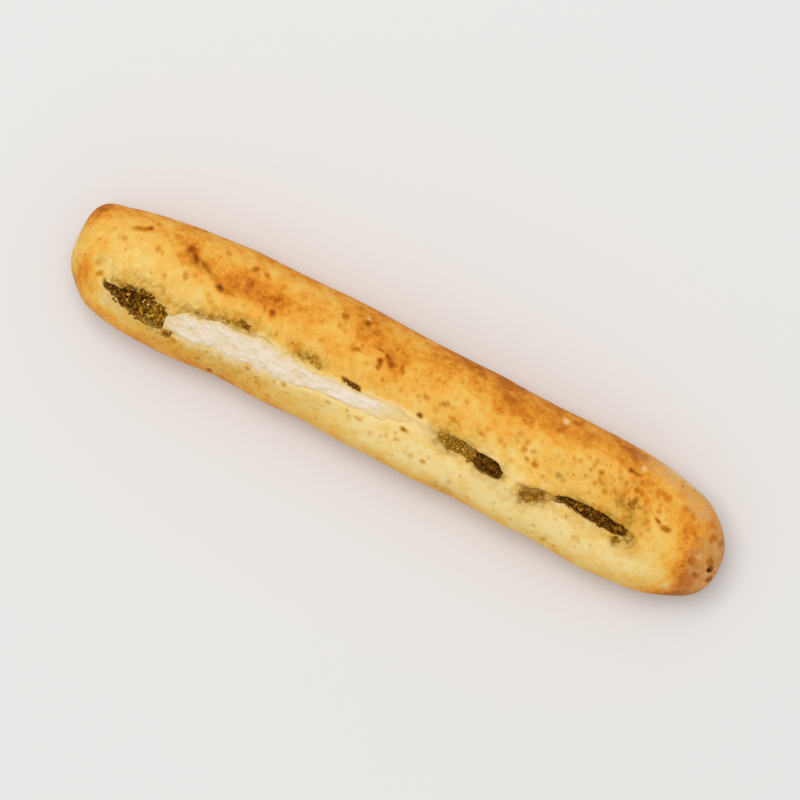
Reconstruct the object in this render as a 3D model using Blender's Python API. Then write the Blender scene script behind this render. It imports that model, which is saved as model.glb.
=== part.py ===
"""One garlic breadstick: a short, hard-baked rod of dough that tore open along one side in the oven.

The stick lies along X with the torn seam on top, a little to the -Y side, and rests on a small flat spot
along its underside. The origin is the middle of the stick's box in X and Y, on the plane that it rests on.
All sizes are in metres.
"""

import math
import random

import bmesh
import bpy
import numpy as np
from mathutils import Matrix, Vector

# The rod.
LENGTH = 0.0640
WIDTH = 0.0119
HEIGHT = 0.0112
SQUARENESS = 2.15  # power of the section's superellipse; 2 would be a plain ellipse
LEFT_END = 0.0190  # how far the rounding of each end reaches along the rod
LEFT_POWER = 3.4  # the left end narrows earlier, and its tip is the blunter one
RIGHT_END = 0.0125
RIGHT_POWER = 2.5

# The rod isn't quite straight: it swings towards -Y by each of these amounts, from one place to the other.
BENDS = (
    (0.00050, -0.012, 0.014),
    (0.00065, 0.012, 0.027),
    (0.00055, 0.028, 0.032),  # the right tip
    (0.00030, -0.015, -0.025),
    (-0.00070, -0.0285, -0.032),  # the left tip, which swings back
)

# The side that lay on the oven belt is pressed flat.
BASE_TURN = math.radians(112)  # its direction, from the top towards +Y
BASE_DEPTH = 0.93  # its distance from the axis, as a share of the radius there
BASE_SOFTNESS = 14
LEAST_FACING = 0.05  # keeps the plane's distance finite on the other side

# The spot that it rests on, here, is cut this deep into the underside.
REST_DEPTH = 0.00030

# The torn seam: its centre line, as a turn from the top towards +Y at places along the rod.
SEAM_AT = (-0.0290, -0.0275, -0.0210, -0.0150, -0.0080, -0.0040, 0.0012, 0.0080, 0.0136, 0.0170, 0.0270)
SEAM_TURN = (-23, -27, -30, -25, -24, -21, -15, -15, -24, -13, -13)
SEAM_CREASE = 0.00032  # least half width, where the crust only creased
SEAM_CREASE_DEPTH = 0.00012
SEAM_FADE = 0.001
LIP_HEIGHT = 0.00026  # the crust rises beside the tear
LIP_REACH = 0.0011
WALL_POWER = 5  # how upright the tear's walls are

# The tears along the seam, left to right: start, end, half width and depth.
TEARS = (
    (-0.0282, -0.0235, 0.00050, 0.00110),  # pocket full of herbs, narrow at first
    (-0.0266, -0.0206, 0.00112, 0.00165),
    (-0.0226, -0.0070, 0.00142, 0.00062),  # wide tear that bares the white crumb
    (-0.0120, 0.0026, 0.00080, 0.00050),  # its narrowing end
    (0.0000, 0.0050, 0.00052, 0.00016),
    (0.0044, 0.0088, 0.00058, 0.00050),  # two slits with herbs in them, and a nick between
    (0.0074, 0.0112, 0.00068, 0.00130),
    (0.0124, 0.0160, 0.00062, 0.00040),
    (0.0158, 0.0210, 0.00036, 0.00080),
    (0.0174, 0.0232, 0.00060, 0.00125),
)
LENS_POWER = 4  # how blunt a tear's ends are
LENS_EASE = 0.75
OPEN_DEPTH = 0.0008  # from this depth on the lips stand at their full height
RAGGED = 0.16  # how far the tear's edges wander, as a share of its half width
RAGGED_LENGTHS = (0.0061, 0.0034)
RAGGED_PHASE = 2  # radians by which the two edges differ, each way

# Unevenness of the rolled dough: height, wave length along the rod, waves round it, and phase.
WAVES = (
    (0.00013, 0.0410, 1, 0.4),
    (0.00010, 0.0230, 2, 2.1),
    (0.00007, 0.0125, 1, 4.0),
    (0.00005, 0.0078, 3, 1.2),
)

END_CALM = 1.5  # the relief fades where less than 1 / this share of the section is left

# Mesh of the rod.
RINGS = 84
COLUMNS = 48  # round the section; half of them on each side of the seam
TEAR_COLUMNS = 4  # of each side's columns, those between the seam's centre line and the tear's edge
TEAR_EASE = 0.8  # below 1 the columns in the tear crowd towards its walls
COLUMN_GROWTH = 1.9  # how much wider apart the columns are at the back than at the tear
OUTLINE_SAMPLES = 4001
NORMAL_STEP = 0.0002

# Herb and garlic flakes baked onto the stick.
FLAKE_SEED = 7
FLAKES_IN_TEARS = 58
FLAKES_BESIDE_TEARS = 26
FLAKES_ELSEWHERE = 16
FLAKE_RADII = (0.00030, 0.00065)  # across, least and most
FLAKE_SLIMNESS = (0.40, 0.75)
FLAKE_HALF_THICKNESS = 0.00019
FLAKE_SINK = 0.00005
FLAKE_TILT = 0.35
FLAKE_SPACING = 0.00090
FLAKE_TRIES = 60
TEAR_MARGIN = 0.0006  # flakes keep this far from a tear's two ends
TEAR_FILL = 0.65  # flakes in a tear lie within this share of its half width
BESIDE_GAP, BESIDE_REACH = 0.0003, 0.0030
CRUST_SPREAD = 0.42  # flakes on the open crust keep within this share of the length from the middle
MOST_ROUND = 0.0110  # no flake further round the rod than this, clear of the resting spot

CRUST_COLOUR = (0.78, 0.44, 0.13, 1)
CRUST_ROUGHNESS = 0.72

HALF_ROUND = math.pi * (WIDTH + HEIGHT) / 4  # half the way round the rod


def smooth_step(start, end, value):
    """0 before start, 1 after end, and a smooth S between them."""
    share = np.clip((value - start) / (end - start), 0, 1)
    return share * share * (3 - 2 * share)


def end_share(x):
    """Share of the full section left at x: 1 along the middle, down to 0 at both tips."""
    left = np.clip((x + LENGTH / 2) / LEFT_END, 0, 1)
    right = np.clip((LENGTH / 2 - x) / RIGHT_END, 0, 1)
    left = (1 - (1 - left) ** LEFT_POWER) ** (1 / LEFT_POWER)
    right = (1 - (1 - right) ** RIGHT_POWER) ** (1 / RIGHT_POWER)
    return left * right


def centre_line(x):
    """How far the rod's middle lies towards +Y at x."""
    return -sum(amount * smooth_step(start, end, x) for amount, start, end in BENDS)


def tear_shape(x, side):
    """Half width and depth of the seam at x, on the side towards +Y (1) or -Y (-1). Each tear is a ragged lens."""
    first, last = TEARS[0][0], TEARS[-1][1]
    seam = smooth_step(first, first + SEAM_FADE, x) * smooth_step(last, last - SEAM_FADE, x)
    half_width = np.full_like(x, SEAM_CREASE)
    depth = SEAM_CREASE_DEPTH * seam
    for start, end, widest, deepest in TEARS:
        along = np.clip((2 * x - start - end) / (end - start), -1, 1)
        lens = (1 - along**LENS_POWER) ** LENS_EASE
        half_width = np.maximum(half_width, widest * lens)
        depth = np.maximum(depth, deepest * lens)
    waves = [np.sin(2 * math.pi * x / length + RAGGED_PHASE * side) for length in RAGGED_LENGTHS]
    return half_width * (1 + RAGGED * sum(waves) / len(waves)), depth


def stick_point(x, round_way):
    """Points of the stick's surface. round_way is the distance round the rod from the seam, positive towards +Y."""
    turn = np.radians(np.interp(x, SEAM_AT, SEAM_TURN)) + math.pi * round_way / HALF_ROUND
    across, up = np.sin(turn), np.cos(turn)
    radius = (np.abs(across) ** SQUARENESS + np.abs(up) ** SQUARENESS) ** (-1 / SQUARENESS)

    # The belt side: the radius and the distance to a plane, whichever is smaller, with a soft edge between them.
    facing = np.maximum(np.cos(turn - BASE_TURN), LEAST_FACING)
    plane = BASE_DEPTH / facing
    radius = (radius**-BASE_SOFTNESS + plane**-BASE_SOFTNESS) ** (-1 / BASE_SOFTNESS)

    # The tear sinks inside its half width, and its lips rise outside it.
    half_width, depth = tear_shape(x, np.where(round_way < 0, -1, 1))
    inside = np.clip(np.abs(round_way) / half_width, 0, 1)
    outside = np.maximum(np.abs(round_way) - half_width, 0) / LIP_REACH
    lip = LIP_HEIGHT * np.clip(depth / OPEN_DEPTH, 0, 1) * np.exp(-(outside**2))
    lift = lip - depth * (1 - inside**WALL_POWER)

    share = end_share(x)
    for height, length, count, phase in WAVES:
        lift = lift + height * np.sin(2 * math.pi * x / length + phase) * np.cos(count * turn + phase)
    lift = lift * np.minimum(share * END_CALM, 1)

    y = centre_line(x) + across * (share * radius * WIDTH / 2 + lift)
    z = HEIGHT / 2 - REST_DEPTH + up * (share * radius * HEIGHT / 2 + lift)
    return np.stack([x, y, np.maximum(z, 0)], axis=-1)


def ring_places():
    """Places of the rings along X, spaced evenly along the outline so that the ends are as fine as the middle."""
    fine = -LENGTH / 2 * np.cos(np.linspace(0, math.pi, OUTLINE_SAMPLES))
    outline = end_share(fine) * WIDTH / 2
    way = np.concatenate([[0], np.cumsum(np.hypot(np.diff(fine), np.diff(outline)))])
    return np.interp(np.linspace(0, way[-1], RINGS + 1), way, fine)


def column_ways(x):
    """Distances round the rod of every column at the ring at x: the inner ones keep to the tear's width there."""
    half = COLUMNS // 2
    step = np.arange(half + 1)
    tear = np.minimum(step / TEAR_COLUMNS, 1) ** TEAR_EASE
    beyond = np.maximum(step - TEAR_COLUMNS, 0) / (half - TEAR_COLUMNS)
    spread = (beyond + (COLUMN_GROWTH - 1) / 2 * beyond**2) / (1 + (COLUMN_GROWTH - 1) / 2)
    upper, lower = (tear_shape(x, side)[0] for side in (1, -1))
    ways = [tear * width + (HALF_ROUND - width) * spread for width in (upper, lower)]
    return np.concatenate([ways[0][:-1], -ways[1][:0:-1]])


def make_rod(material):
    """A sphere primitive whose rings are drawn out along X and moved onto the stick's surface."""
    mesh = bpy.data.meshes.new("breadstick")
    shape = bmesh.new()
    bmesh.ops.create_uvsphere(shape, u_segments=COLUMNS, v_segments=RINGS, radius=1)
    places = ring_places()
    for vertex in shape.verts:
        ring = round(math.acos(max(-1.0, min(1.0, -vertex.co.z))) / math.pi * RINGS)
        column = round(math.atan2(vertex.co.y, vertex.co.x) / (2 * math.pi) * COLUMNS) % COLUMNS
        x = np.array([places[ring]])
        way = column_ways(x)[column]
        vertex.co = Vector(stick_point(x, np.array([way]))[0])
    bmesh.ops.recalc_face_normals(shape, faces=shape.faces)
    shape.to_mesh(mesh)
    shape.free()
    mesh.materials.append(material)
    mesh.shade_smooth()
    rod = bpy.data.objects.new("breadstick", mesh)
    return rod


def surface_frame(x, way):
    """A place on the surface with its outward direction and its direction along the rod."""
    corners = stick_point(np.array([x, x + NORMAL_STEP, x]), np.array([way, way, way + NORMAL_STEP]))
    here, along, round_the_rod = (Vector(corner) for corner in corners)
    forward = (along - here).normalized()
    outward = (round_the_rod - here).cross(forward).normalized()
    middle = Vector((x, float(centre_line(np.array([x]))[0]), HEIGHT / 2))
    if outward.dot(here - middle) < 0:
        outward.negate()
    return here, outward, forward


def flake_place(kind, draw):
    """A place for one flake: in a tear, close beside one, or anywhere on the upper crust."""
    if kind == "crust":
        return draw.uniform(-CRUST_SPREAD, CRUST_SPREAD) * LENGTH, draw.uniform(-MOST_ROUND, MOST_ROUND)
    start, end, _, _ = draw.choices(TEARS, weights=[depth for _, _, _, depth in TEARS])[0]
    x = draw.uniform(start + TEAR_MARGIN, end - TEAR_MARGIN)
    side = draw.choice((-1, 1))
    half_width = float(tear_shape(np.array([x]), side)[0][0])
    if kind == "tear":
        return x, side * TEAR_FILL * half_width * draw.random()
    return x, side * (half_width + BESIDE_GAP + BESIDE_REACH * draw.random() ** 2)


def flake_places(draw):
    """Chooses where the flakes sit, each clear of the ones before it."""
    kinds = ["tear"] * FLAKES_IN_TEARS + ["beside"] * FLAKES_BESIDE_TEARS + ["crust"] * FLAKES_ELSEWHERE
    places, taken = [], []
    for kind in kinds:
        for _ in range(FLAKE_TRIES):
            x, way = flake_place(kind, draw)
            point = Vector(stick_point(np.array([x]), np.array([way]))[0])
            if all((point - other).length > FLAKE_SPACING for other in taken):
                taken.append(point)
                places.append((x, way))
                break
    return places


def make_flakes(material):
    """Small flat flakes, each a squashed icosphere that lies half sunk in the crust at its own angle."""
    collection = bpy.data.collections.new("flakes")
    draw = random.Random(FLAKE_SEED)
    for number, (x, way) in enumerate(flake_places(draw)):
        here, outward, forward = surface_frame(x, way)
        radius = draw.uniform(*FLAKE_RADII)
        slim = radius * draw.uniform(*FLAKE_SLIMNESS)
        spin = Matrix.Rotation(draw.uniform(0, math.pi), 4, outward)
        tilt = Matrix.Rotation(draw.uniform(-FLAKE_TILT, FLAKE_TILT), 4, forward)
        lie = Matrix((forward, outward.cross(forward), outward)).transposed().to_4x4()
        size = Matrix.Diagonal((radius, slim, FLAKE_HALF_THICKNESS, 1))
        mesh = bpy.data.meshes.new(f"flake_{number:03d}")
        shape = bmesh.new()
        bmesh.ops.create_icosphere(shape, subdivisions=1, radius=1)
        place = Matrix.Translation(here - outward * FLAKE_SINK)
        bmesh.ops.transform(shape, matrix=place @ tilt @ spin @ lie @ size, verts=shape.verts)
        shape.to_mesh(mesh)
        shape.free()
        mesh.materials.append(material)
        collection.objects.link(bpy.data.objects.new(mesh.name, mesh))
    return collection


def fuse(rod, flakes):
    """Joins every flake to the rod with one union, then removes the loose flakes."""
    union = rod.modifiers.new("flakes", "BOOLEAN")
    union.operation = "UNION"
    union.operand_type = "COLLECTION"
    union.solver = "MANIFOLD"
    union.collection = flakes
    graph = bpy.context.evaluated_depsgraph_get()
    joined = bpy.data.meshes.new_from_object(rod.evaluated_get(graph))
    rod.modifiers.remove(union)
    rod.data = joined
    for flake in list(flakes.objects):
        bpy.data.objects.remove(flake)
    bpy.data.collections.remove(flakes)


def centre_on_origin(rod):
    """Shifts the mesh so that the middle of its box in X and Y is at the origin."""
    corners = np.array(rod.bound_box)
    middle = (corners.max(axis=0) + corners.min(axis=0)) / 2
    rod.data.transform(Matrix.Translation((-middle[0], -middle[1], 0)))


def make_material(name, colour, roughness):
    """A Principled material with one colour."""
    material = bpy.data.materials.new(name)
    material.use_nodes = True
    shader = material.node_tree.nodes["Principled BSDF"]
    shader.inputs["Base Color"].default_value = colour
    shader.inputs["Roughness"].default_value = roughness
    shader.inputs["Metallic"].default_value = 0.0
    return material


def main():
    """Clears the scene and builds the stick."""
    for old in list(bpy.data.objects):
        bpy.data.objects.remove(old)
    crust = make_material("baked_crust", CRUST_COLOUR, CRUST_ROUGHNESS)
    parts = bpy.data.collections.new("garlic_breadstick")
    bpy.context.scene.collection.children.link(parts)
    rod = make_rod(crust)
    parts.objects.link(rod)
    flakes = make_flakes(crust)
    parts.children.link(flakes)
    bpy.context.view_layer.update()
    fuse(rod, flakes)
    bpy.context.view_layer.update()
    centre_on_origin(rod)


main()
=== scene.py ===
"""Looks of one garlic breadstick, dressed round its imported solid.

The stick lies along X with its torn seam on top. Shapes are worked out in millimetres as whole numpy
arrays, and become metres when a mesh is made. Plan places are seen from straight above: x along the
stick and y across it, both from the middle of its box.
"""

import dataclasses
import itertools
import logging
import math
from dataclasses import dataclass
from enum import Enum

import bpy
import numpy as np
from numpy.typing import NDArray
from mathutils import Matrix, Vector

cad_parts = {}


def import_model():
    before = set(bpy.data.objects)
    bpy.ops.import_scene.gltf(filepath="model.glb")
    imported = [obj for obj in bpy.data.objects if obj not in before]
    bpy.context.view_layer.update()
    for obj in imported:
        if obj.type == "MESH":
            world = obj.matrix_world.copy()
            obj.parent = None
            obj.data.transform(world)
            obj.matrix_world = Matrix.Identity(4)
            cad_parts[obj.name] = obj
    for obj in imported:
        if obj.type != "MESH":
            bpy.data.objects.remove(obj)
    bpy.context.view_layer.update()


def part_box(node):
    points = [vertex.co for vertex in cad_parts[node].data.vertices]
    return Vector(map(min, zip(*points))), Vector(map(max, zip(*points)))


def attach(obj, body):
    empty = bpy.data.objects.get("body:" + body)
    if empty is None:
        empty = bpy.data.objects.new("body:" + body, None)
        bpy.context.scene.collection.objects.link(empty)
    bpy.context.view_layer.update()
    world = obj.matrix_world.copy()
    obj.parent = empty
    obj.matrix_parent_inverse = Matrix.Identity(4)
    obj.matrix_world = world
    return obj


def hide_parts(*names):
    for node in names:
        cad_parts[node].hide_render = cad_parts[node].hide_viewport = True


Array = NDArray[np.float64]
Faces = NDArray[np.int64]
Socket = bpy.types.NodeSocket
Stops = tuple[tuple[float, str], ...]
# A span is two numbers, such as a range. A ramp is the amount, the start and the end of a smooth step.
Span = tuple[float, float]
Ramp = tuple[float, float, float]

MM = 0.001
NODE = "breadstick"
BODY = "root"

# Sockets of Blender's Mix node when it mixes colours.
MIX_FACTOR, MIX_A, MIX_B, MIX_RESULT = 0, 6, 7, 2

# Refractive index of dry baked food with a little fat, and how rough the finishes' noises are.
FOOD_IOR = 1.45
NOISE_ROUGHNESS = 0.6

# Noises that fray the edge of a mark: the cell in millimetres and the height of each.
FRAY = ((0.7, 1.0), (0.3, 0.5))

# Odd multipliers and shifts that scramble whole numbers into even randomness.
HASH_AXES = np.array([73856093, 19349663, 83492791], dtype=np.uint64)
HASH_SEED = np.uint64(2654435761)
HASH_MIX = np.uint64(0xBF58476D1CE4E5B9)
HASH_SHIFTS = (np.uint64(29), np.uint64(32))
HASH_KEEP = np.uint64(11)
HASH_RANGE = 2.0**53

log = logging.getLogger("garlic_breadstick")


def smooth_step(start: float, end: float, value: Array) -> Array:
    """A smooth S from 0 at start to 1 at end: 3 s^2 - 2 s^3 of the share s between them.

    Args:
        start: Where the S leaves 0.
        end: Where it reaches 1; it may be less than start.
        value: The places to work it out at.

    Returns:
        The S at each place.
    """
    share = np.clip((value - start) / (end - start), 0, 1)
    return share * share * (3 - 2 * share)


def ramped(ramp: Ramp, value: Array) -> Array:
    """An amount that comes in as a smooth step: the ramp holds the amount, the start and the end."""
    return ramp[0] * smooth_step(ramp[1], ramp[2], value)


def side_of(way: Array) -> Array:
    """The side of the seam that each place is on: 1 towards +Y and -1 beyond it."""
    return np.where(way < 0, -1.0, 1.0)


def lattice_random(corners: NDArray[np.int64], seed: int) -> Array:
    """A fixed random number for each lattice point, from its three whole coordinates scrambled together.

    Args:
        corners: Whole coordinates, three for each point.
        seed: Picks one of many such lattices.

    Returns:
        Numbers from 0 to 1.
    """
    key = (corners.astype(np.uint64) * HASH_AXES).sum(axis=-1) + np.uint64(seed) * HASH_SEED
    for shift in HASH_SHIFTS:
        key = (key ^ (key >> shift)) * HASH_MIX
    return (key >> HASH_KEEP).astype(np.float64) / HASH_RANGE


def soft_noise(points: Array, cell: float | tuple[float, float, float], seed: int) -> Array:
    """Smooth noise: random values on a lattice, blended between its corners by 6 s^5 - 15 s^4 + 10 s^3.

    Args:
        points: Places, three coordinates each.
        cell: Lattice spacing, one for all axes or one for each.
        seed: Picks the lattice.

    Returns:
        Noise from -1 to 1 at each place.
    """
    scaled = points / np.asarray(cell, dtype=np.float64)
    base = np.floor(scaled).astype(np.int64)
    share = scaled - base
    share = share**3 * (share * (6 * share - 15) + 10)
    total = np.zeros(points.shape[:-1])
    for corner in itertools.product((0, 1), repeat=3):
        weight = np.prod(np.where(corner, share, 1 - share), axis=-1)
        total += weight * lattice_random(base + np.array(corner), seed)
    return 2 * total - 1


def layered_noise(points: Array, layers: tuple[Span, ...], seed: int) -> Array:
    """The sum of several smooth noises, each times its own height.

    Args:
        points: Places, three coordinates each.
        layers: Cell and height of each noise.
        seed: Picks the first noise's lattice, and the numbers after it the next ones'.

    Returns:
        The sum at each place.
    """
    total = np.zeros(points.shape[:-1])
    for number, (cell, height) in enumerate(layers):
        total += height * soft_noise(points, cell, seed + number)
    return total


def scattered_dots(points: Array, cell: float, radius: Span, share: float, seed: int) -> Array:
    """Round dots strewn in space: one random place in each lattice cell, some of them left empty.

    Each dot is 1 - (d / r)^2 of the distance d from its middle, with its own radius r, and 0 beyond it.

    Args:
        points: Places to work the dots out at.
        cell: Lattice spacing.
        radius: Least and greatest radius.
        share: How many of the cells hold a dot, from 0 to 1.
        seed: Picks the lattice.

    Returns:
        The highest dot at each place, from 0 to 1.
    """
    base = np.floor(points / cell).astype(np.int64)
    best = np.zeros(points.shape[:-1])
    for step in itertools.product((-1, 0, 1), repeat=3):
        corner = base + np.array(step)
        middle = np.stack([lattice_random(corner, seed + axis) for axis in (1, 2, 3)], axis=-1)
        distance = np.linalg.norm(points - (corner + middle) * cell, axis=-1)
        size = radius[0] + (radius[1] - radius[0]) * lattice_random(corner, seed + 4)
        there = lattice_random(corner, seed + 5) < share
        best = np.maximum(best, np.where(there, 1 - (distance / size) ** 2, 0))
    return best


@dataclass(frozen=True)
class Spot:
    """An ellipse on the plan, in millimetres, with its slant in degrees and its strength."""

    x: float
    y: float
    half_length: float
    half_width: float
    slant: float = 0.0
    strength: float = 1.0

    def reach(self, points: Array) -> Array:
        """Distance of each point from the middle, as a share of the ellipse.

        Args:
            points: The points; only their x and y count.

        Returns:
            0 in the middle and 1 along the edge.
        """
        slant = math.radians(self.slant)
        dx, dy = points[..., 0] - self.x, points[..., 1] - self.y
        along = dx * math.cos(slant) + dy * math.sin(slant)
        across = dy * math.cos(slant) - dx * math.sin(slant)
        return np.hypot(along / self.half_length, across / self.half_width)

    def strew(self, count: int, draw: np.random.Generator) -> tuple[Array, Array]:
        """Plan places drawn over the ellipse, a little denser towards its middle.

        Args:
            count: How many.
            draw: The source of chance.

        Returns:
            Their x and y.
        """
        angle = draw.uniform(0, 2 * math.pi, count)
        reach = draw.uniform(0, 1, count) ** 0.6
        along, across = self.half_length * reach * np.cos(angle), self.half_width * reach * np.sin(angle)
        slant = math.radians(self.slant)
        x = self.x + along * math.cos(slant) - across * math.sin(slant)
        return x, self.y + along * math.sin(slant) + across * math.cos(slant)


def spots(*rows: tuple[float, ...]) -> tuple[Spot, ...]:
    """Spots from rows of x, y, half length, half width, slant and strength."""
    return tuple(Spot(*row) for row in rows)


@dataclass(frozen=True)
class Marks:
    """Marks of one kind on the upper side, each falling off over a ragged edge.

    The edge is the width of the fall-off and the fray how far noise moves it, both as shares of a mark's
    size. The marks come in from the first height to the second, so that none shows on the underside.
    """

    spots: tuple[Spot, ...]
    edge: float
    fray: float
    seed: int
    heights: Span = (4.4, 5.4)

    def show(self, points: Array) -> Array:
        """How strongly the marks show: a smooth step of the frayed reach, times each mark's strength.

        Args:
            points: Points of the surface.

        Returns:
            The strongest mark at each point.
        """
        noise = self.fray * layered_noise(points, FRAY, self.seed)
        total = np.zeros(points.shape[:-1])
        for mark in self.spots:
            shown = smooth_step(1 + self.edge, 1 - self.edge, mark.reach(points) + noise)
            total = np.maximum(total, mark.strength * shown)
        return total * smooth_step(*self.heights, points[..., 2])


# Toasted marks in the crust: above the seam from left to right, then below it and round the right end.
SCORCHES = spots(
    (-27.2, 3.55, 1.00, 0.20, 22, 0.55),
    (-26.35, 3.95, 0.34, 0.20, 22, 0.75),
    (-24.0, 4.4, 0.50, 0.22, 0, 0.25),
    (-23.0, 2.9, 0.55, 0.16, 24, 0.28),
    (-22.3, 4.0, 0.34, 0.26, -20, 0.50),
    (-21.7, 1.5, 0.26, 0.36, 25, 0.42),
    (-21.5, 3.3, 0.50, 0.18, -50, 0.55),
    (-20.7, 3.15, 0.45, 0.16, -30, 0.50),
    (-20.1, 2.85, 0.35, 0.16, -20, 0.40),
    (-19.2, 5.0, 0.32, 0.26, 0, 0.28),
    (-18.45, 1.98, 0.46, 0.30, -8, 0.90),
    (-15.15, -0.08, 0.42, 0.22, -10, 0.75),
    (-17.9, 1.9, 0.50, 0.30, -8, 0.45),
    (-17.2, 1.88, 0.30, 0.18, 0, 0.30),
    (-16.5, 4.8, 0.34, 0.26, 40, 0.62),
    (-15.3, 4.7, 0.30, 0.24, -20, 0.50),
    (-14.0, 3.15, 0.80, 0.15, 16, 0.50),
    (-13.5, 2.02, 0.40, 0.30, -12, 0.60),
    (-14.2, 2.1, 0.20, 0.40, 20, 0.32),
    (-12.2, 2.7, 0.24, 0.20, 0, 0.30),
    (-9.2, 3.2, 0.28, 0.20, 0, 0.30),
    (-7.5, 4.55, 0.32, 0.34, -30, 0.55),
    (-5.5, 4.85, 0.26, 0.22, 0, 0.60),
    (-5.45, 2.3, 0.58, 0.26, 16, 0.45),
    (-3.35, 3.25, 0.55, 0.15, -6, 0.60),
    (-2.6, 2.95, 0.45, 0.17, -38, 0.72),
    (-2.0, 2.5, 0.40, 0.24, -10, 0.68),
    (-3.1, 2.3, 0.26, 0.24, 0, 0.66),
    (-2.95, 1.75, 0.18, 0.34, 10, 0.58),
    (-1.0, 2.5, 0.22, 0.28, 0, 0.34),
    (2.0, 1.2, 0.30, 0.20, 0, 0.38),
    (3.75, 1.4, 0.42, 0.22, 34, 0.46),
    (5.1, 0.5, 0.58, 0.18, -8, 0.42),
    (7.75, 0.42, 0.36, 0.18, 0, 0.42),
    (8.0, 1.1, 0.22, 0.15, 0, 0.26),
    (10.9, 2.0, 0.34, 0.26, 0, 0.28),
    (11.7, 0.95, 0.28, 0.20, 10, 0.44),
    (12.5, 1.05, 0.20, 0.20, 0, 0.36),
    (12.25, 0.22, 0.26, 0.20, 0, 0.52),
    (13.1, 0.10, 0.30, 0.20, 0, 0.54),
    (15.1, 5.0, 0.55, 0.20, 4, 0.40),
    (14.2, 3.8, 1.00, 0.24, -4, 0.24),
    (17.9, 2.3, 0.26, 0.20, 0, 0.32),
    (18.75, 2.05, 0.30, 0.22, 0, 0.55),
    (19.2, 1.25, 0.46, 0.20, -8, 0.44),
    (19.9, 3.7, 0.50, 0.26, -20, 0.30),
    (21.5, 3.32, 0.62, 0.17, -6, 0.62),
    (21.0, 3.35, 0.24, 0.20, 0, 0.75),
    (22.2, 2.0, 0.25, 0.24, 0, 0.54),
    (24.2, 2.75, 0.38, 0.28, -20, 0.36),
    (25.0, 2.55, 0.40, 0.30, -20, 0.36),
    (25.0, 0.42, 0.38, 0.20, -20, 0.74),
    (26.0, 0.05, 0.48, 0.24, 4, 0.58),
    (26.8, 2.4, 0.32, 0.24, 0, 0.28),
    (27.8, 2.0, 0.34, 0.24, -30, 0.26),
    (28.0, -0.9, 0.30, 0.18, 0, 0.24),
    (-29.2, -0.7, 0.34, 0.30, 0, 0.30),
    (-28.7, -1.6, 0.34, 0.22, 40, 0.45),
    (-21.1, -3.8, 0.32, 0.22, -10, 0.78),
    (-20.3, -4.0, 0.34, 0.20, 0, 0.36),
    (-16.3, -5.00, 0.30, 0.16, 0, 0.70),
    (-13.3, -3.35, 0.34, 0.20, 0, 0.40),
    (-9.8, -3.3, 0.32, 0.20, -10, 0.42),
    (-5.6, -2.95, 0.34, 0.16, 0, 0.30),
    (-2.6, -3.1, 0.34, 0.16, 0, 0.36),
    (1.4, -2.2, 0.38, 0.24, -6, 0.80),
    (4.15, -3.95, 0.30, 0.20, 0, 0.42),
    (3.0, -4.0, 0.24, 0.16, 0, 0.26),
    (17.6, -2.8, 0.28, 0.24, 0, 0.44),
    (16.7, -5.55, 0.32, 0.24, 0, 0.32),
    (19.2, -4.2, 0.34, 0.24, 0, 0.18),
    (30.3, 1.2, 0.34, 0.30, 0, 0.40),
    (31.1, 1.0, 0.26, 0.26, 0, 0.34),
    (30.9, -0.9, 0.30, 0.34, 0, 0.48),
    (30.2, -2.5, 0.36, 0.28, 0, 0.34),
    (31.5, -2.3, 0.24, 0.34, -20, 0.60),
)

# Small holes, sunk in and coloured dark: partly burnt crust, partly painted shade in the holes. They lie at
# the crumb's upper edge, beside it, and near the right tip.
PITS = spots(
    (-4.9, -0.56, 0.60, 0.18, -8, 0.80),
    (-4.0, -0.70, 0.48, 0.24, -14, 1.00),
    (2.15, -0.48, 0.28, 0.20, -8, 0.95),
    (31.2, -1.45, 0.24, 0.34, -30, 1.00),
)

# Olive and mustard marks, where single herbs coloured the crust.
IMPRINTS = spots(
    (-21.0, 3.1, 1.30, 0.42, -20, 0.65),
    (5.7, -1.55, 1.30, 0.70, -6, 0.95),
    (-26.6, -1.75, 0.90, 0.30, -12, 0.85),
    (-24.7, -1.42, 1.40, 0.30, 2, 0.95),
    (-24.3, -3.25, 2.20, 0.28, -14, 0.80),
    (-22.2, -3.95, 0.60, 0.26, -10, 0.80),
    (-18.4, -0.80, 1.60, 0.32, 6, 0.92),
    (-16.5, -0.52, 1.20, 0.36, 4, 0.95),
    (-15.1, -0.12, 0.80, 0.36, -10, 1.00),
    (-12.9, -0.42, 0.55, 0.16, -6, 0.65),
    (-9.3, -0.25, 0.90, 0.34, 8, 0.80),
    (-8.0, -0.30, 0.70, 0.36, -16, 0.90),
    (-5.5, 4.8, 0.40, 0.30, 0, 0.50),
    (4.9, -1.0, 0.80, 0.40, 0, 0.75),
    (6.4, -1.3, 1.20, 0.62, -8, 0.95),
    (8.6, -2.1, 1.20, 0.46, -14, 0.85),
    (10.9, -2.2, 0.40, 0.34, 0, 0.75),
    (12.3, -3.0, 0.80, 0.22, -6, 0.40),
    (14.2, -2.5, 1.20, 0.70, 22, 0.95),
    (13.9, -3.1, 0.46, 0.34, 0, 1.00),
    (15.6, 0.12, 0.50, 0.26, -20, 0.60),
    (16.0, -1.7, 0.60, 0.26, 12, 0.80),
    (18.6, -1.00, 1.80, 0.24, 2, 0.60),
    (21.6, -1.15, 1.40, 0.34, -16, 0.70),
    (21.4, 0.32, 0.62, 0.26, 0, 0.70),
    (22.4, 0.60, 0.28, 0.60, -20, 0.80),
    (23.3, 0.72, 0.46, 0.18, -16, 0.60),
    (22.8, -0.5, 0.40, 0.60, 0, 0.60),
    (23.4, -2.2, 0.55, 0.60, 0, 0.75),
    (22.4, -2.8, 0.44, 0.50, 0, 0.90),
    (24.7, -0.65, 0.24, 0.20, 0, 0.50),
    (6.4, -5.2, 1.20, 0.30, -4, 0.30),
)

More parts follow.
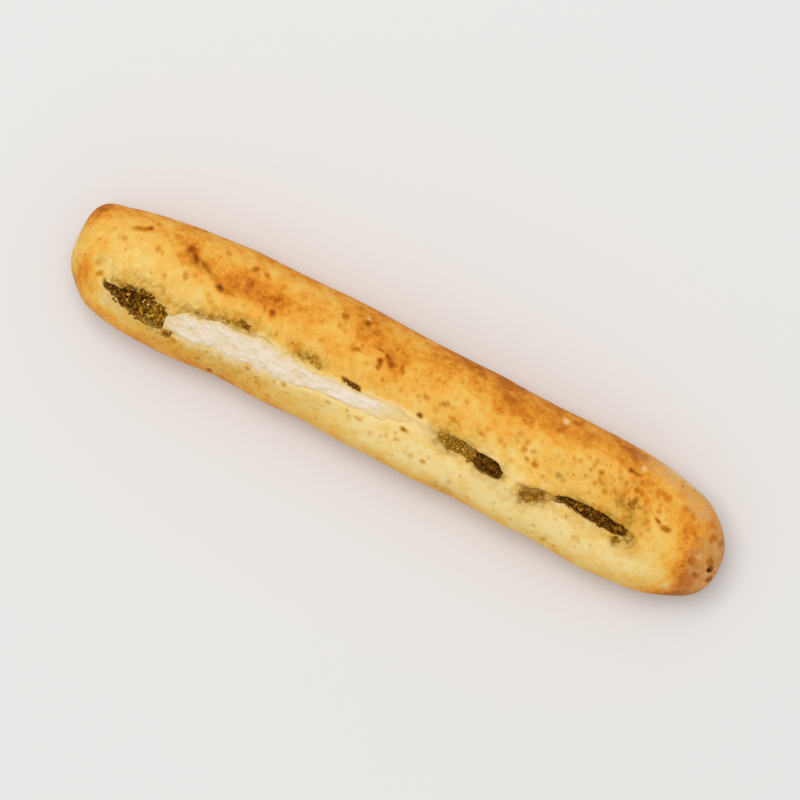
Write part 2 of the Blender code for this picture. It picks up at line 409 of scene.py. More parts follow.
# Mustard haze round the tears, where herbs and oil soaked into the dough.
HAZES = spots(
    (-23.6, -0.95, 4.4, 0.95, -6, 0.80),
    (-26.2, -1.6, 1.8, 0.7, -12, 0.80),
    (-25.0, -3.4, 3.0, 0.7, -12, 0.50),
    (-16.2, -0.1, 3.6, 0.80, 6, 0.85),
    (-8.9, 0.0, 2.6, 0.75, 0, 0.65),
    (-3.0, 0.2, 4.0, 0.70, 0, 0.28),
    (-2.0, 0.8, 26.0, 1.30, 0, 0.14),
    (-21.6, -3.4, 1.4, 0.9, -20, 0.75),
    (-16.0, -4.0, 6.0, 0.9, 3, 0.42),
    (-8.0, -3.6, 4.0, 0.7, 4, 0.22),
    (6.2, -1.1, 2.8, 1.2, -4, 0.75),
    (9.8, -2.1, 2.0, 1.0, -8, 0.68),
    (14.2, -2.5, 2.2, 1.0, 12, 0.68),
    (19.8, -1.5, 4.2, 1.25, -4, 0.62),
    (22.4, 0.0, 2.2, 1.30, -40, 0.65),
    (18.4, 0.9, 4.0, 0.9, 0, 0.22),
    (23.2, -2.4, 1.5, 1.0, 0, 0.60),
    (30.6, 0.0, 1.0, 2.0, 0, 0.25),
)

# Pale places: four small specks on the crust, then dough that stayed white beside the tears, one line of
# which is partly a painted highlight on a slit's lip.
PALE = spots(
    (-5.55, 5.2, 0.18, 0.14, 0, 0.60),
    (14.0, 4.7, 0.30, 0.24, 0, 0.80),
    (22.0, 3.95, 0.28, 0.22, 0, 0.72),
    (28.3, -4.4, 0.26, 0.20, 0, 0.60),
    (19.8, -2.42, 1.6, 0.22, -6, 0.70),
    # Along the upper lip of the first slit: partly stretched pale dough, partly a painted highlight where
    # the lip catches the light.
    (9.3, -0.86, 1.5, 0.15, -12, 0.85),
    (12.2, -1.5, 1.1, 0.45, 0, 0.45),
    (16.5, -2.15, 0.8, 0.28, 14, 0.80),
    (3.2, -1.45, 1.7, 0.60, 0, 0.80),
    (5.2, -2.0, 1.4, 0.30, -4, 0.60),
)

# Where herbs stained the inside of a tear dark.
SOAKED = spots(
    (-24.6, -2.5, 4.2, 1.9, -12, 1.0),
    (9.6, -1.7, 2.6, 1.6, -4, 1.0),
    (14.0, -2.4, 2.4, 1.3, 10, 0.9),
    (19.8, -1.55, 4.4, 1.10, -5, 1.0),
)

# Patches that are browner, or paler where the strength is negative: mostly baked crust, but those along the
# lower rim are partly painted shade, and the paler one on the left end partly a painted highlight.
BAKE_AND_PAINTED_LIGHT_PATCHES = spots(
    (-22.2, 3.4, 1.7, 0.9, -20, 0.20),
    (-17.6, 2.9, 2.8, 1.1, 0, 0.30),
    (-13.8, 2.9, 2.2, 1.3, 0, 0.32),
    (-2.3, 2.5, 1.7, 1.0, -25, 0.25),
    (20.9, 4.9, 1.3, 0.5, -8, 0.22),
    (14.0, 5.5, 3.0, 0.6, -4, -0.16),
    (29.6, 2.2, 1.4, 1.4, 0, -0.18),
    (11.5, 3.6, 4.5, 1.0, -4, 0.10),
    (-30.5, -1.6, 2.0, 3.0, 0, 0.14),
    (-31.0, 3.9, 1.6, 1.4, 0, 0.28),
    # Along the lower left rim: partly browner crust, partly painted shade and warm bounce light.
    (-24.5, -4.7, 4.6, 0.9, 0, 0.30),
    (-30.2, -3.4, 1.6, 1.2, -45, 0.22),
    (4.0, -5.5, 6.0, 0.6, -2, 0.20),
    (23.5, -5.4, 5.0, 1.0, 0, 0.24),
    (6.5, 5.2, 4.0, 1.3, -3, 0.07),
    (12.0, 4.6, 5.0, 1.5, -5, 0.08),
    (-18.0, 5.3, 7.0, 1.1, 2, -0.16),
    (-9.0, 3.9, 3.2, 1.2, 0, -0.05),
    # Paler left end: partly paler crust, partly a painted satin highlight.
    (-28.5, 1.4, 4.0, 3.0, 0, -0.26),
    (-22.0, 1.0, 4.0, 1.6, 0, -0.08),
    (14.5, 1.7, 2.4, 0.9, 0, -0.12),
    (18.0, 2.7, 1.8, 0.8, 0, -0.10),
    (10.5, -0.2, 1.8, 0.8, 0, -0.12),
    (6.0, 0.5, 1.8, 0.6, 0, 0.12),
    (22.0, 3.3, 2.2, 0.8, -10, 0.10),
    # Along the lower rim: partly browner crust, partly painted shade.
    (-15.5, -4.8, 8.5, 1.0, 1, 0.44),
    (-28.6, -3.4, 2.8, 1.3, -40, 0.24),
    (-29.8, -2.0, 1.6, 1.4, 0, 0.20),
    (16.0, -4.2, 8.0, 1.3, -3, -0.10),
    (2.0, -3.2, 6.0, 0.8, 0, -0.06),
    (25.6, 4.4, 4.2, 1.0, -12, -0.22),
    (29.8, -3.6, 1.6, 2.4, 0, 0.42),
    (20.2, 2.4, 2.8, 1.5, 0, -0.14),
    (12.0, 2.3, 6.0, 1.0, 0, -0.08),
    (-12.0, 5.0, 2.4, 1.0, 0, -0.16),
    (-4.5, 5.0, 1.8, 0.8, 0, 0.12),
    (-24.0, 3.6, 1.6, 0.8, 0, -0.10),
)

# Dull tan crust: along the upper right rim and on the right end's cap.
DULLED = spots(
    (24.8, 4.45, 3.4, 0.70, -7, 0.80),
    (27.9, 3.5, 1.9, 1.1, -36, 0.95),
    (31.8, -0.7, 2.5, 3.8, 0, 0.95),
)

# Soft toasted freckles, strewn by chance: how many, and where.
FRECKLES = (
    (54, Spot(20.8, 1.3, 5.2, 2.0, -6, 0.30)),
    (20, Spot(13.0, 0.8, 4.4, 1.6, 0, 0.24)),
    (30, Spot(-3.0, 2.8, 9.0, 2.2, 0, 0.24)),
    (30, Spot(-21.0, 3.0, 9.0, 2.4, 0, 0.24)),
    (22, Spot(9.0, -3.9, 15.0, 1.4, 0, 0.22)),
    (24, Spot(-15.0, -4.1, 9.0, 1.2, 0, 0.28)),
    (80, Spot(0.0, 0.0, 31.0, 6.2, 0, 0.18)),
    (24, Spot(30.0, 0.0, 2.4, 3.8, 0, 0.26)),
)


def linear(colour: str) -> tuple[float, float, float, float]:
    """Turns an sRGB hex colour, such as #e7ad4d, into linear light with full alpha.

    Args:
        colour: The hex colour.

    Returns:
        Red, green, blue and alpha.
    """
    parts = [int(colour[i : i + 2], 16) / 255 for i in (1, 3, 5)]
    red, green, blue = (p / 12.92 if p <= 0.04045 else ((p + 0.055) / 1.055) ** 2.4 for p in parts)
    return red, green, blue, 1.0


def per_mm(size: float) -> float:
    """Texture scale that makes a pattern on Object coordinates this many millimetres large."""
    return 1 / (size * MM)


def add_node(
    tree: bpy.types.NodeTree,
    kind: str,
    settings: dict | None = None,
    values: dict | None = None,
    links: dict | None = None,
    stops: Stops = (),
) -> bpy.types.Node:
    """Adds a node with its settings and links.

    Args:
        tree: The material's or world's node tree.
        kind: The node's type name.
        settings: Properties of the node itself.
        values: Constant for each unlinked input, by name or number.
        links: Output that feeds each linked input, by name or number.
        stops: Places and hex colours of a colour ramp.

    Returns:
        The new node.
    """
    node = tree.nodes.new(kind)
    for name, setting in (settings or {}).items():
        setattr(node, name, setting)
    for socket, value in (values or {}).items():
        node.inputs[socket].default_value = value
    for socket, source in (links or {}).items():
        tree.links.new(source, node.inputs[socket])
    for number, (place, colour) in enumerate(stops):
        elements = node.color_ramp.elements
        stop = elements[number] if number < len(elements) else elements.new(place)
        stop.position, stop.color = place, linear(colour)
    return node


@dataclass
class Finish:
    """A node material under construction: its tree, its Principled shader and its Object coordinates."""

    material: bpy.types.Material

    @classmethod
    def start(cls, name: str) -> "Finish":
        """Starts a new node material.

        Args:
            name: The material's name.

        Returns:
            The finish, ready for its nodes.
        """
        material = bpy.data.materials.new(name)
        material.use_nodes = True
        return cls(material)

    def __post_init__(self) -> None:
        """Finds the tree and the shader, and adds the coordinates."""
        self.tree = self.material.node_tree
        self.shader = self.tree.nodes["Principled BSDF"]
        self.place = add_node(self.tree, "ShaderNodeTexCoord").outputs["Object"]

    def field(self, name: str) -> Socket:
        """Reads a number that the mesh stores at each point."""
        return add_node(self.tree, "ShaderNodeAttribute", {"attribute_name": name}).outputs["Fac"]

    def noise(self, size: float, detail: float = 3.0) -> Socket:
        """Noise on the Object coordinates.

        Args:
            size: How large its features are, in millimetres.
            detail: How many finer layers it has.

        Returns:
            Numbers from 0 to 1.
        """
        values = {"Scale": per_mm(size), "Detail": detail, "Roughness": NOISE_ROUGHNESS}
        links = {"Vector": self.place}
        return add_node(self.tree, "ShaderNodeTexNoise", values=values, links=links).outputs["Fac"]

    def sum(self, base: Socket, noise: Socket, share: float) -> Socket:
        """Adds to a number a share of how far the noise is from its middle.

        Args:
            base: The number.
            noise: The noise, from 0 to 1.
            share: The share of it.

        Returns:
            The sum.
        """
        settings = {"operation": "MULTIPLY_ADD"}
        centred = add_node(self.tree, "ShaderNodeMath", settings, {1: share, 2: -share / 2}, {0: noise})
        links = {0: base, 1: centred.outputs[0]}
        return add_node(self.tree, "ShaderNodeMath", {"operation": "ADD"}, links=links).outputs[0]

    def product(self, first: Socket, second: Socket) -> Socket:
        """The product of two numbers, kept from 0 to 1."""
        settings = {"operation": "MULTIPLY", "use_clamp": True}
        return add_node(self.tree, "ShaderNodeMath", settings, links={0: first, 1: second}).outputs[0]

    def spread(self, source: Socket, inner: Span, outer: Span) -> Socket:
        """Maps numbers from the inner range to the outer one."""
        values = {"From Min": inner[0], "From Max": inner[1], "To Min": outer[0], "To Max": outer[1]}
        return add_node(self.tree, "ShaderNodeMapRange", values=values, links={"Value": source}).outputs[0]

    def ramp(self, source: Socket, stops: Stops) -> Socket:
        """Colours a number by a ramp."""
        node = add_node(self.tree, "ShaderNodeValToRGB", links={"Fac": source}, stops=stops)
        return node.outputs["Color"]

    def mix(self, under: Socket, over: str, factor: Socket) -> Socket:
        """Lays a hex colour over a linked one.

        Args:
            under: The linked colour.
            over: The hex colour.
            factor: How much of it covers, from 0 to 1.

        Returns:
            The mixed colour.
        """
        links = {MIX_FACTOR: factor, MIX_A: under}
        node = add_node(self.tree, "ShaderNodeMix", {"data_type": "RGBA"}, {MIX_B: linear(over)}, links)
        return node.outputs[MIX_RESULT]

    def tint(self, under: Socket, over: Socket, factor: Socket) -> Socket:
        """Multiplies one linked colour by another, as a stain darkens what is under it.

        Args:
            under: The colour that is stained.
            over: The stain's colour.
            factor: How much of it counts, from 0 to 1.

        Returns:
            The darkened colour.
        """
        links = {MIX_FACTOR: factor, MIX_A: under, MIX_B: over}
        settings = {"data_type": "RGBA", "blend_type": "MULTIPLY"}
        return add_node(self.tree, "ShaderNodeMix", settings, links=links).outputs[MIX_RESULT]

    def done(self, colour: Socket, height: Socket, depth: float, specular: float) -> bpy.types.Material:
        """Feeds colour and bump to the shader.

        Args:
            colour: The base colour.
            height: The bump's height, from 0 to 1.
            depth: The bump's depth in millimetres.
            specular: The shader's specular level.

        Returns:
            The finished material.
        """
        values = {"Strength": 1.0, "Distance": depth * MM}
        bump = add_node(self.tree, "ShaderNodeBump", values=values, links={"Height": height}).outputs[0]
        self.tree.links.new(colour, self.shader.inputs["Base Color"])
        self.tree.links.new(bump, self.shader.inputs["Normal"])
        self.shader.inputs["Specular IOR Level"].default_value = specular
        self.shader.inputs["IOR"].default_value = FOOD_IOR
        return self.material


@dataclass(frozen=True)
class BakedCrust:
    """Hard-baked wheat crust with a little oil: satin, cream where it rose and brown where it met the belt.

    The oven's browning gives the eye its slow change from cream through amber to brown; near the rims it is
    partly painted shade, and on the left end partly a painted highlight. Herbs, scorches and the dull end
    lie over it; the pale layer also carries painted highlights, and darker dots paint the shade in
    pinholes. Each pair of spans says which part of a noise wears a layer, and to what.
    """

    browning: Stops = (
        (0.00, "#f3d892"),
        (0.20, "#f0cb76"),
        (0.38, "#eebe5c"),
        (0.55, "#eeb04a"),
        (0.70, "#e79b32"),
        (0.85, "#d68222"),
        (1.00, "#b76516"),
    )
    scorching: Stops = ((0.0, "#ffffff"), (0.35, "#dfbd70"), (0.65, "#aa8032"), (1.0, "#5c3c14"))
    haze: str = "#b98218"
    olive: str = "#8a5e06"
    soaked: str = "#875512"
    # Pale dough: the torn inside and bared dough, and also painted highlights along the right end's rim and
    # a slit's lip.
    inside: str = "#f0d798"
    dull: str = "#dda868"
    # Painted shade in tiny pinholes, laid on as darker dots.
    pinhole_shade: str = "#b06a22"
    mottle: float = 2.4
    blotch: float = 0.70
    fleck: float = 0.42
    grain: float = 0.22
    pinhole: float = 0.95
    noise_shares: tuple[float, float, float] = (0.85, 0.60, 0.35)
    patchy_spans: tuple[Span, Span] = ((0.40, 0.58), (0.45, 1.0))
    worn_spans: tuple[Span, Span] = ((0.38, 0.60), (0.30, 1.0))
    dusty_spans: tuple[Span, Span] = ((0.35, 0.60), (0.80, 1.0))
    hole_spans: tuple[Span, Span] = ((0.10, 0.20), (0.75, 0.0))
    holed_spans: tuple[Span, Span] = ((0.5, 0.6), (0.0, 1.0))
    satin_spans: tuple[Span, Span] = ((0.3, 0.7), (0.48, 0.68))
    bump_grain: float = 0.6
    bump_depth: float = 0.040
    specular: float = 0.08

    def material(self) -> bpy.types.Material:
        """Builds the finish: the browning ramp, then each layer over it by its own field and some noise.

        Returns:
            The material.
        """
        finish = Finish.start("baked_crust")
        mottle, blotch, grain = (finish.noise(size) for size in (self.mottle, self.blotch, self.grain))
        # The browning field: crust browning, with painted shade near the rims and a painted highlight on
        # the left end.
        bake_and_painted_light = finish.field("bake_and_painted_light")
        for noise, share in zip((mottle, blotch, grain), self.noise_shares):
            bake_and_painted_light = finish.sum(bake_and_painted_light, noise, share)
        colour = finish.ramp(bake_and_painted_light, self.browning)
        patchy = finish.spread(finish.noise(self.fleck), *self.patchy_spans)
        worn = finish.spread(blotch, *self.worn_spans)
        dusty = finish.spread(grain, *self.dusty_spans)
        # The pale layer: torn and bared dough, with painted highlights on a rim and a lip.
        colour = finish.mix(colour, self.inside, finish.field("inside"))
        colour = finish.mix(colour, self.dull, finish.product(finish.field("dull"), worn))
        colour = finish.mix(colour, self.haze, finish.product(finish.field("haze"), patchy))
        colour = finish.mix(colour, self.olive, finish.product(finish.field("olive"), patchy))
        colour = finish.mix(colour, self.soaked, finish.product(finish.field("soaked"), dusty))
        # The scorch field also darkens the pits: partly burnt crust, partly painted shade in the holes.
        colour = finish.tint(colour, finish.ramp(finish.field("scorch"), self.scorching), dusty)
        # Darker dots, colour only: painted shade in tiny pinholes.
        values, links = {"Scale": per_mm(self.pinhole)}, {"Vector": finish.place}
        dots = add_node(finish.tree, "ShaderNodeTexVoronoi", values=values, links=links)
        holes = finish.spread(dots.outputs["Distance"], *self.hole_spans)
        holes = finish.product(holes, finish.spread(mottle, *self.holed_spans))
        colour = finish.mix(colour, self.pinhole_shade, holes)
        satin = finish.spread(mottle, *self.satin_spans)
        finish.tree.links.new(satin, finish.shader.inputs["Roughness"])
        height = finish.sum(blotch, grain, self.bump_grain)
        return finish.done(colour, height, self.bump_depth, self.specular)


@dataclass(frozen=True)
class TornCrumb:
    """Torn white bread crumb: dry and matt and chalky; its tan is painted shade in hollows and pores, and
    real tan near the crust.
    """

    tones: Stops = ((0.0, "#eddecb"), (0.5, "#e5cfa9"), (1.0, "#e6ca88"))
    grain: float = 0.30
    detail: float = 4.0
    mottle: float = 1.1
    grain_share: float = 0.45
    mottle_share: float = 0.60
    roughness: float = 0.92
    bump_depth: float = 0.045
    specular: float = 0.05

    def material(self) -> bpy.types.Material:
        """Builds the finish: white to tan by the painted hollow shade and edge tan, and some noise, with a
        fine crumbly grain.

        Returns:
            The material.
        """
        finish = Finish.start("torn_crumb")
        grain, mottle = finish.noise(self.grain, self.detail), finish.noise(self.mottle)
        shade_and_tan = finish.sum(finish.field("hollow_shade_and_tan"), grain, self.grain_share)
        colour = finish.ramp(finish.sum(shade_and_tan, mottle, self.mottle_share), self.tones)
        finish.shader.inputs["Roughness"].default_value = self.roughness
        return finish.done(colour, grain, self.bump_depth, self.specular)


@dataclass(frozen=True)
class DryBits:
    """Dry baked bits, each of its own tone: matt leaf, or the waxier garlic."""

    name: str
    tones: Stops
    roughness: float
    specular: float = 0.04
    grain: float = 0.15
    detail: float = 2.0
    grain_share: float = 0.40
    bump_depth: float = 0.020

    def material(self) -> bpy.types.Material:
        """Builds the finish: one tone for each bit, broken up by a fine grain.

        Returns:
            The material.
        """
        finish = Finish.start(self.name)
        grain = finish.noise(self.grain, self.detail)
        colour = finish.ramp(finish.sum(finish.field("tone"), grain, self.grain_share), self.tones)
        finish.shader.inputs["Roughness"].default_value = self.roughness
        return finish.done(colour, grain, self.bump_depth, self.specular)


# Dried green herbs after the oven: olive brown to nearly black, a few straw-coloured.
DRIED_HERB = DryBits(
    "dried_herb",
    ((0.0, "#4f2f08"), (0.3, "#774b10"), (0.55, "#9a6818"), (0.8, "#b98624"), (1.0, "#d8a944")),
    0.8,
)
# Specks that the oven toasted on the open crust: reddish to mustard brown.
TOASTED_HERB = DryBits(
    "toasted_herb",
    ((0.0, "#9a5c16"), (0.4, "#b0741f"), (0.7, "#c48c2c"), (1.0, "#d4a448")),
    0.75,
)
# Garlic granules: cream to amber, slightly waxy, so they catch small glints.
DRIED_GARLIC = DryBits(
    "dried_garlic",
    ((0.0, "#cf9238"), (0.5, "#e8bd6c"), (1.0, "#f2d79a")),
    0.42,
    0.12,
)


def make_piece(
    name: str, points: Array, quads: Faces, triangles: Faces, material: bpy.types.Material
) -> bpy.types.Object:
    """Puts a closed surface into a mesh object, turned so that its faces point outwards.

    The side they face comes from the sign of the volume: the sum of a . (b x c) over all corners.

    Args:
        name: The piece's name.
        points: Corners in millimetres.
        quads: Four corner numbers for each quad.
        triangles: Three for each triangle.
        material: Its finish.

    Returns:
        The new object, smooth shaded and linked to the scene.
    """
    halves = np.concatenate([quads[:, [0, 1, 2]], quads[:, [0, 2, 3]], triangles])
    a, b, c = (points[halves[:, i]] for i in range(3))
    if np.einsum("ij,ij->", a, np.cross(b, c)) < 0:
        quads, triangles = quads[:, ::-1], triangles[:, ::-1]
    mesh = bpy.data.meshes.new(name)
    mesh.vertices.add(len(points))
    mesh.vertices.foreach_set("co", (points * MM).astype(np.float32).ravel())
    loops = np.concatenate([quads.ravel(), triangles.ravel()]).astype(np.int32)
    sizes = np.concatenate([np.full(len(quads), 4), np.full(len(triangles), 3)])
    mesh.loops.add(len(loops))
    mesh.loops.foreach_set("vertex_index", loops)
    mesh.polygons.add(len(sizes))
    mesh.polygons.foreach_set("loop_start", (np.cumsum(sizes) - sizes).astype(np.int32))
    mesh.update(calc_edges=True)
    mesh.shade_smooth()
    mesh.materials.append(material)
    piece = bpy.data.objects.new(name, mesh)
    bpy.context.scene.collection.objects.link(piece)
    return piece


def ring_faces(rings: int, columns: int) -> tuple[Faces, Faces]:
    """Faces of a closed form made of rings, with one pole point before the first and one after the last.

    Args:
        rings: Number of rings.
        columns: Points in each ring.

    Returns:
        The quads between rings and the triangles at the poles, for points numbered pole, rings, pole.
    """
    ring, column = np.meshgrid(np.arange(rings - 1), np.arange(columns), indexing="ij")
    here = 1 + ring * columns + column
    beside = 1 + ring * columns + (column + 1) % columns
    quads = np.stack([here, beside, beside + columns, here + columns], axis=-1).reshape(-1, 4)
    column = np.arange(columns)
    beside = (column + 1) % columns
    last = 1 + (rings - 1) * columns
    first_fan = np.stack([np.zeros_like(column), 1 + beside, 1 + column], axis=-1)
    last_fan = np.stack([np.full_like(column, last + columns), last + column, last + beside], axis=-1)
    return quads, np.concatenate([first_fan, last_fan])


def set_field(piece: bpy.types.Object, name: str, values: Array) -> None:
    """Stores one number for each point of a piece, for its material to read."""
    field = piece.data.attributes.new(name, "FLOAT", "POINT")
    field.data.foreach_set("value", values.astype(np.float32))


def with_poles(rings: Array, first: Array | None = None, last: Array | None = None) -> Array:
    """Lists ring values with a pole's before and after them, by default the mean of the nearest ring.

    Args:
        rings: Values for each ring and column.
        first: Value of the first pole.
        last: Value of the last pole.

    Returns:
        All values in the order that ring_faces numbers them.
    """
    first = rings[0].mean(axis=0) if first is None else first
    last = rings[-1].mean(axis=0) if last is None else last
    flat = rings.reshape(-1, *rings.shape[2:])
    return np.concatenate([first[None], flat, last[None]])


@dataclass(frozen=True)
class Tear:
    """One ragged, lens-shaped opening along the seam."""

    start: float
    end: float
    half_width: float
    depth: float


@dataclass(frozen=True)
class DoughForm:
    """The baked dough's form: a rod with rounded ends, one side pressed flat, and a torn seam on top."""

    length: float = 64.0
    width: float = 11.9
    height: float = 11.2
    squareness: float = 2.15
    left_end: float = 19.0
    left_power: float = 3.4
    right_end: float = 12.5
    right_power: float = 2.5
    bends: tuple[Ramp, ...] = (
        (0.50, -12.0, 14.0),
        (0.65, 12.0, 27.0),
        (0.55, 28.0, 32.0),
        (0.30, -15.0, -25.0),
        (-0.70, -28.5, -32.0),
    )
    base_turn: float = math.radians(112)
    base_depth: float = 0.93
    base_softness: float = 14.0
    least_facing: float = 0.05
    rest_depth: float = 0.30
    seam_at: tuple[float, ...] = (-29.0, -27.5, -21.0, -15.0, -8.0, -4.0, 1.2, 8.0, 13.6, 17.0, 27.0)
    seam_turn: tuple[float, ...] = (-23, -27, -30, -25, -24, -21, -15, -15, -24, -13, -13)
    crease: float = 0.32
    crease_depth: float = 0.05
    seam_fade: float = 1.0
    lip_height: float = 0.26
    lip_reach: float = 1.1
    gape_from: float = 0.35
    bowl_power: float = 2.0
    wall_power: float = 8.0
    undercut: float = 0.34
    lens_power: float = 4.0
    lens_ease: float = 0.75
    open_depth: float = 0.8
    ragged: float = 0.16
    ragged_lengths: Span = (6.1, 3.4)
    ragged_phase: float = 2.0
    frayed: tuple[Span, ...] = ((0.90, 0.14), (0.38, 0.09), (0.20, 0.04))
    frayed_seed: int = 90
    sides_apart: float = 10.0
    waves: tuple[tuple[float, float, int, float], ...] = (
        (0.13, 41.0, 1, 0.4),
        (0.10, 23.0, 2, 2.1),
        (0.07, 12.5, 1, 4.0),
        (0.05, 7.8, 3, 1.2),
    )
    end_calm: float = 1.5
    tears: tuple[Tear, ...] = (
        Tear(-28.2, -23.5, 0.50, 1.10),
        Tear(-26.6, -20.6, 1.12, 1.65),
        Tear(-22.6, -7.0, 1.42, 0.62),
        Tear(-12.0, 2.6, 0.80, 0.50),
        Tear(0.0, 5.0, 0.52, 0.16),
        Tear(4.4, 8.8, 0.58, 0.50),
        Tear(7.8, 11.0, 0.66, 1.30),
        Tear(12.4, 16.0, 0.62, 0.40),
        Tear(15.8, 21.0, 0.36, 0.80),
        Tear(17.4, 23.2, 0.54, 1.25),
    )
    offset: Span = (0.0, 0.0)
    box_grid: tuple[int, int] = (801, 181)
    slope_step: float = 0.05
    search_share: float = 0.62
    search_steps: int = 501

    @property
    def half_round(self) -> float:
        """Half the way round the rod."""
        return math.pi * (self.width + self.height) / 4

    def fitted(self, low: Array, high: Array) -> "DoughForm":
        """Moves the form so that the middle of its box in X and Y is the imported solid's.

        Args:
            low: The solid's lowest corner, in millimetres.
            high: Its highest corner.

        Returns:
            The moved form.
        """
        x = np.linspace(-self.length / 2, self.length / 2, self.box_grid[0])[:, None]
        way = np.linspace(-self.half_round, self.half_round, self.box_grid[1])[None, :]
        points = self.surface(*np.broadcast_arrays(x, way)).reshape(-1, 3)
        move = (low + high) / 2 - (points.max(axis=0) + points.min(axis=0)) / 2
        return dataclasses.replace(self, offset=(float(move[0]), float(move[1])))

    def end_share(self, x: Array) -> Array:
        """How full the section is: a superellipse quarter at each end, 1 between them.

        Args:
            x: Places along the rod.

        Returns:
            The share of the full section left there.
        """
        left = np.clip((x + self.length / 2) / self.left_end, 0, 1)
        right = np.clip((self.length / 2 - x) / self.right_end, 0, 1)
        left = (1 - (1 - left) ** self.left_power) ** (1 / self.left_power)
        right = (1 - (1 - right) ** self.right_power) ** (1 / self.right_power)
        return left * right

    def centre_line(self, x: Array) -> Array:
        """How far the rod's middle lies towards +Y: less one smooth step for each bend."""
        return -sum(ramped(bend, x) for bend in self.bends)

    def turn(self, x: Array, way: Array) -> Array:
        """Direction from the rod's middle, from the top towards +Y, of a distance round from the seam."""
        return np.radians(np.interp(x, self.seam_at, self.seam_turn)) + math.pi * way / self.half_round

    def tear(self, x: Array, side: Array) -> tuple[Array, Array]:
        """Half width and depth of the seam.

        Each tear is a lens, (1 - s^4)^0.75 of its greatest width and depth along its length s from -1 to 1,
        and the widest and deepest one counts. Two slow waves and finer noises fray its edges, and the two
        edges read the noises far apart, so that they differ.

        Args:
            x: Places along the rod.
            side: 1 for the edge towards +Y, -1 for the other.

        Returns:
            Half widths and depths.
        """
        first, last = self.tears[0].start, self.tears[-1].end
        seam = smooth_step(first, first + self.seam_fade, x) * smooth_step(last, last - self.seam_fade, x)
        half_width = np.full_like(x, self.crease)
        depth = self.crease_depth * seam
        for tear in self.tears:
            along = np.clip((2 * x - tear.start - tear.end) / (tear.end - tear.start), -1, 1)
            lens = (1 - along**self.lens_power) ** self.lens_ease
            half_width = np.maximum(half_width, tear.half_width * lens)
            depth = np.maximum(depth, tear.depth * lens)
        phase = self.ragged_phase * side
        waves = [np.sin(2 * math.pi * x / length + phase) for length in self.ragged_lengths]
        places = np.stack([x, self.sides_apart * side, np.zeros_like(x)], axis=-1)
        fray = self.ragged * sum(waves) / len(waves) + layered_noise(places, self.frayed, self.frayed_seed)
        return half_width * (1 + fray), depth

    def surface(self, x: Array, way: Array, lift: Array | float = 0.0, open_seam: bool = True) -> Array:
        """Points of the stick's surface.

        The section is a superellipse whose radius is blended with the distance to the flat belt side. The
        tear sinks as depth (1 - s^p)^q of the share s from its middle to its edge, where p grows with the
        depth from a soft dent's 2 to a steep wall's 8, and q falls from 2 to 1. Its floor runs on under the
        edge by 4 s^2 (1 - s) of the undercut, and the lips beside it rise as a bell curve.

        Args:
            x: Places along the rod.
            way: Distances round it from the seam, positive towards +Y.
            lift: How far to raise each point.
            open_seam: False for the whole skin, as if it had not torn.

        Returns:
            Points in millimetres.
        """
        if open_seam:
            side = side_of(way)
            half_width, depth = self.tear(x, side)
            inside = np.clip(np.abs(way) / half_width, 0, 1)
            outside = np.maximum(np.abs(way) - half_width, 0) / self.lip_reach
            gape = smooth_step(self.gape_from, 1.0, depth / self.open_depth)
            power = self.bowl_power + (self.wall_power - self.bowl_power) * gape
            wall = (1 - inside**power) ** (2 - gape)
            lift = lift + self.lip_height * gape * np.exp(-(outside**2)) - depth * wall
            way = way + side * self.undercut * gape * 4 * inside**2 * (1 - inside)

        turn = self.turn(x, way)
        across, up = np.sin(turn), np.cos(turn)
        power = self.squareness
        radius = (np.abs(across) ** power + np.abs(up) ** power) ** (-1 / power)
        plane = self.base_depth / np.maximum(np.cos(turn - self.base_turn), self.least_facing)
        radius = (radius**-self.base_softness + plane**-self.base_softness) ** (-1 / self.base_softness)

        share = self.end_share(x)
        for height, length, count, phase in self.waves:
            lift = lift + height * np.sin(2 * math.pi * x / length + phase) * np.cos(count * turn + phase)
        lift = lift * np.minimum(share * self.end_calm, 1)
        y = self.centre_line(x) + across * (share * radius * self.width / 2 + lift)
        z = self.height / 2 - self.rest_depth + up * (share * radius * self.height / 2 + lift)
        return np.stack([x + self.offset[0], y + self.offset[1], np.maximum(z, 0)], axis=-1)

    def axes(self, x: Array, way: Array) -> tuple[Array, Array, Array, Array]:
        """Points of the whole skin with their local axes, from its slopes along x and round the rod.

        Args:
            x: Places along the rod.
            way: Distances round it from the seam.

        Returns:
            Points, directions along the rod, directions round it, and outward directions.
        """
        here = self.surface(x, way, open_seam=False)
        along = self.surface(x + self.slope_step, way, open_seam=False) - here
        across = self.surface(x, way + self.slope_step, open_seam=False) - here
        along /= np.linalg.norm(along, axis=-1, keepdims=True)
        outward = np.cross(along, across)
        outward /= np.linalg.norm(outward, axis=-1, keepdims=True)
        return here, along, np.cross(outward, along), outward

    def below(self, plan_x: Array, plan_y: Array) -> tuple[Array, Array]:
        """Finds the upper skin's points that are seen at these places from above.

        Args:
            plan_x: Places along the stick.
            plan_y: Places across it.

        Returns:
            Their places along the rod and distances round it from the seam.
        """
        shares = np.linspace(-self.search_share, self.search_share, self.search_steps)
        ways = shares[None, :] * self.half_round
        x, ways = np.broadcast_arrays((plan_x - self.offset[0])[:, None], ways)
        miss = np.abs(self.surface(x, ways, open_seam=False)[..., 1] - plan_y[:, None])
        miss = np.where(np.cos(self.turn(x, ways)) > self.least_facing, miss, np.inf)
        return x[:, 0], ways[0][np.argmin(miss, axis=1)]


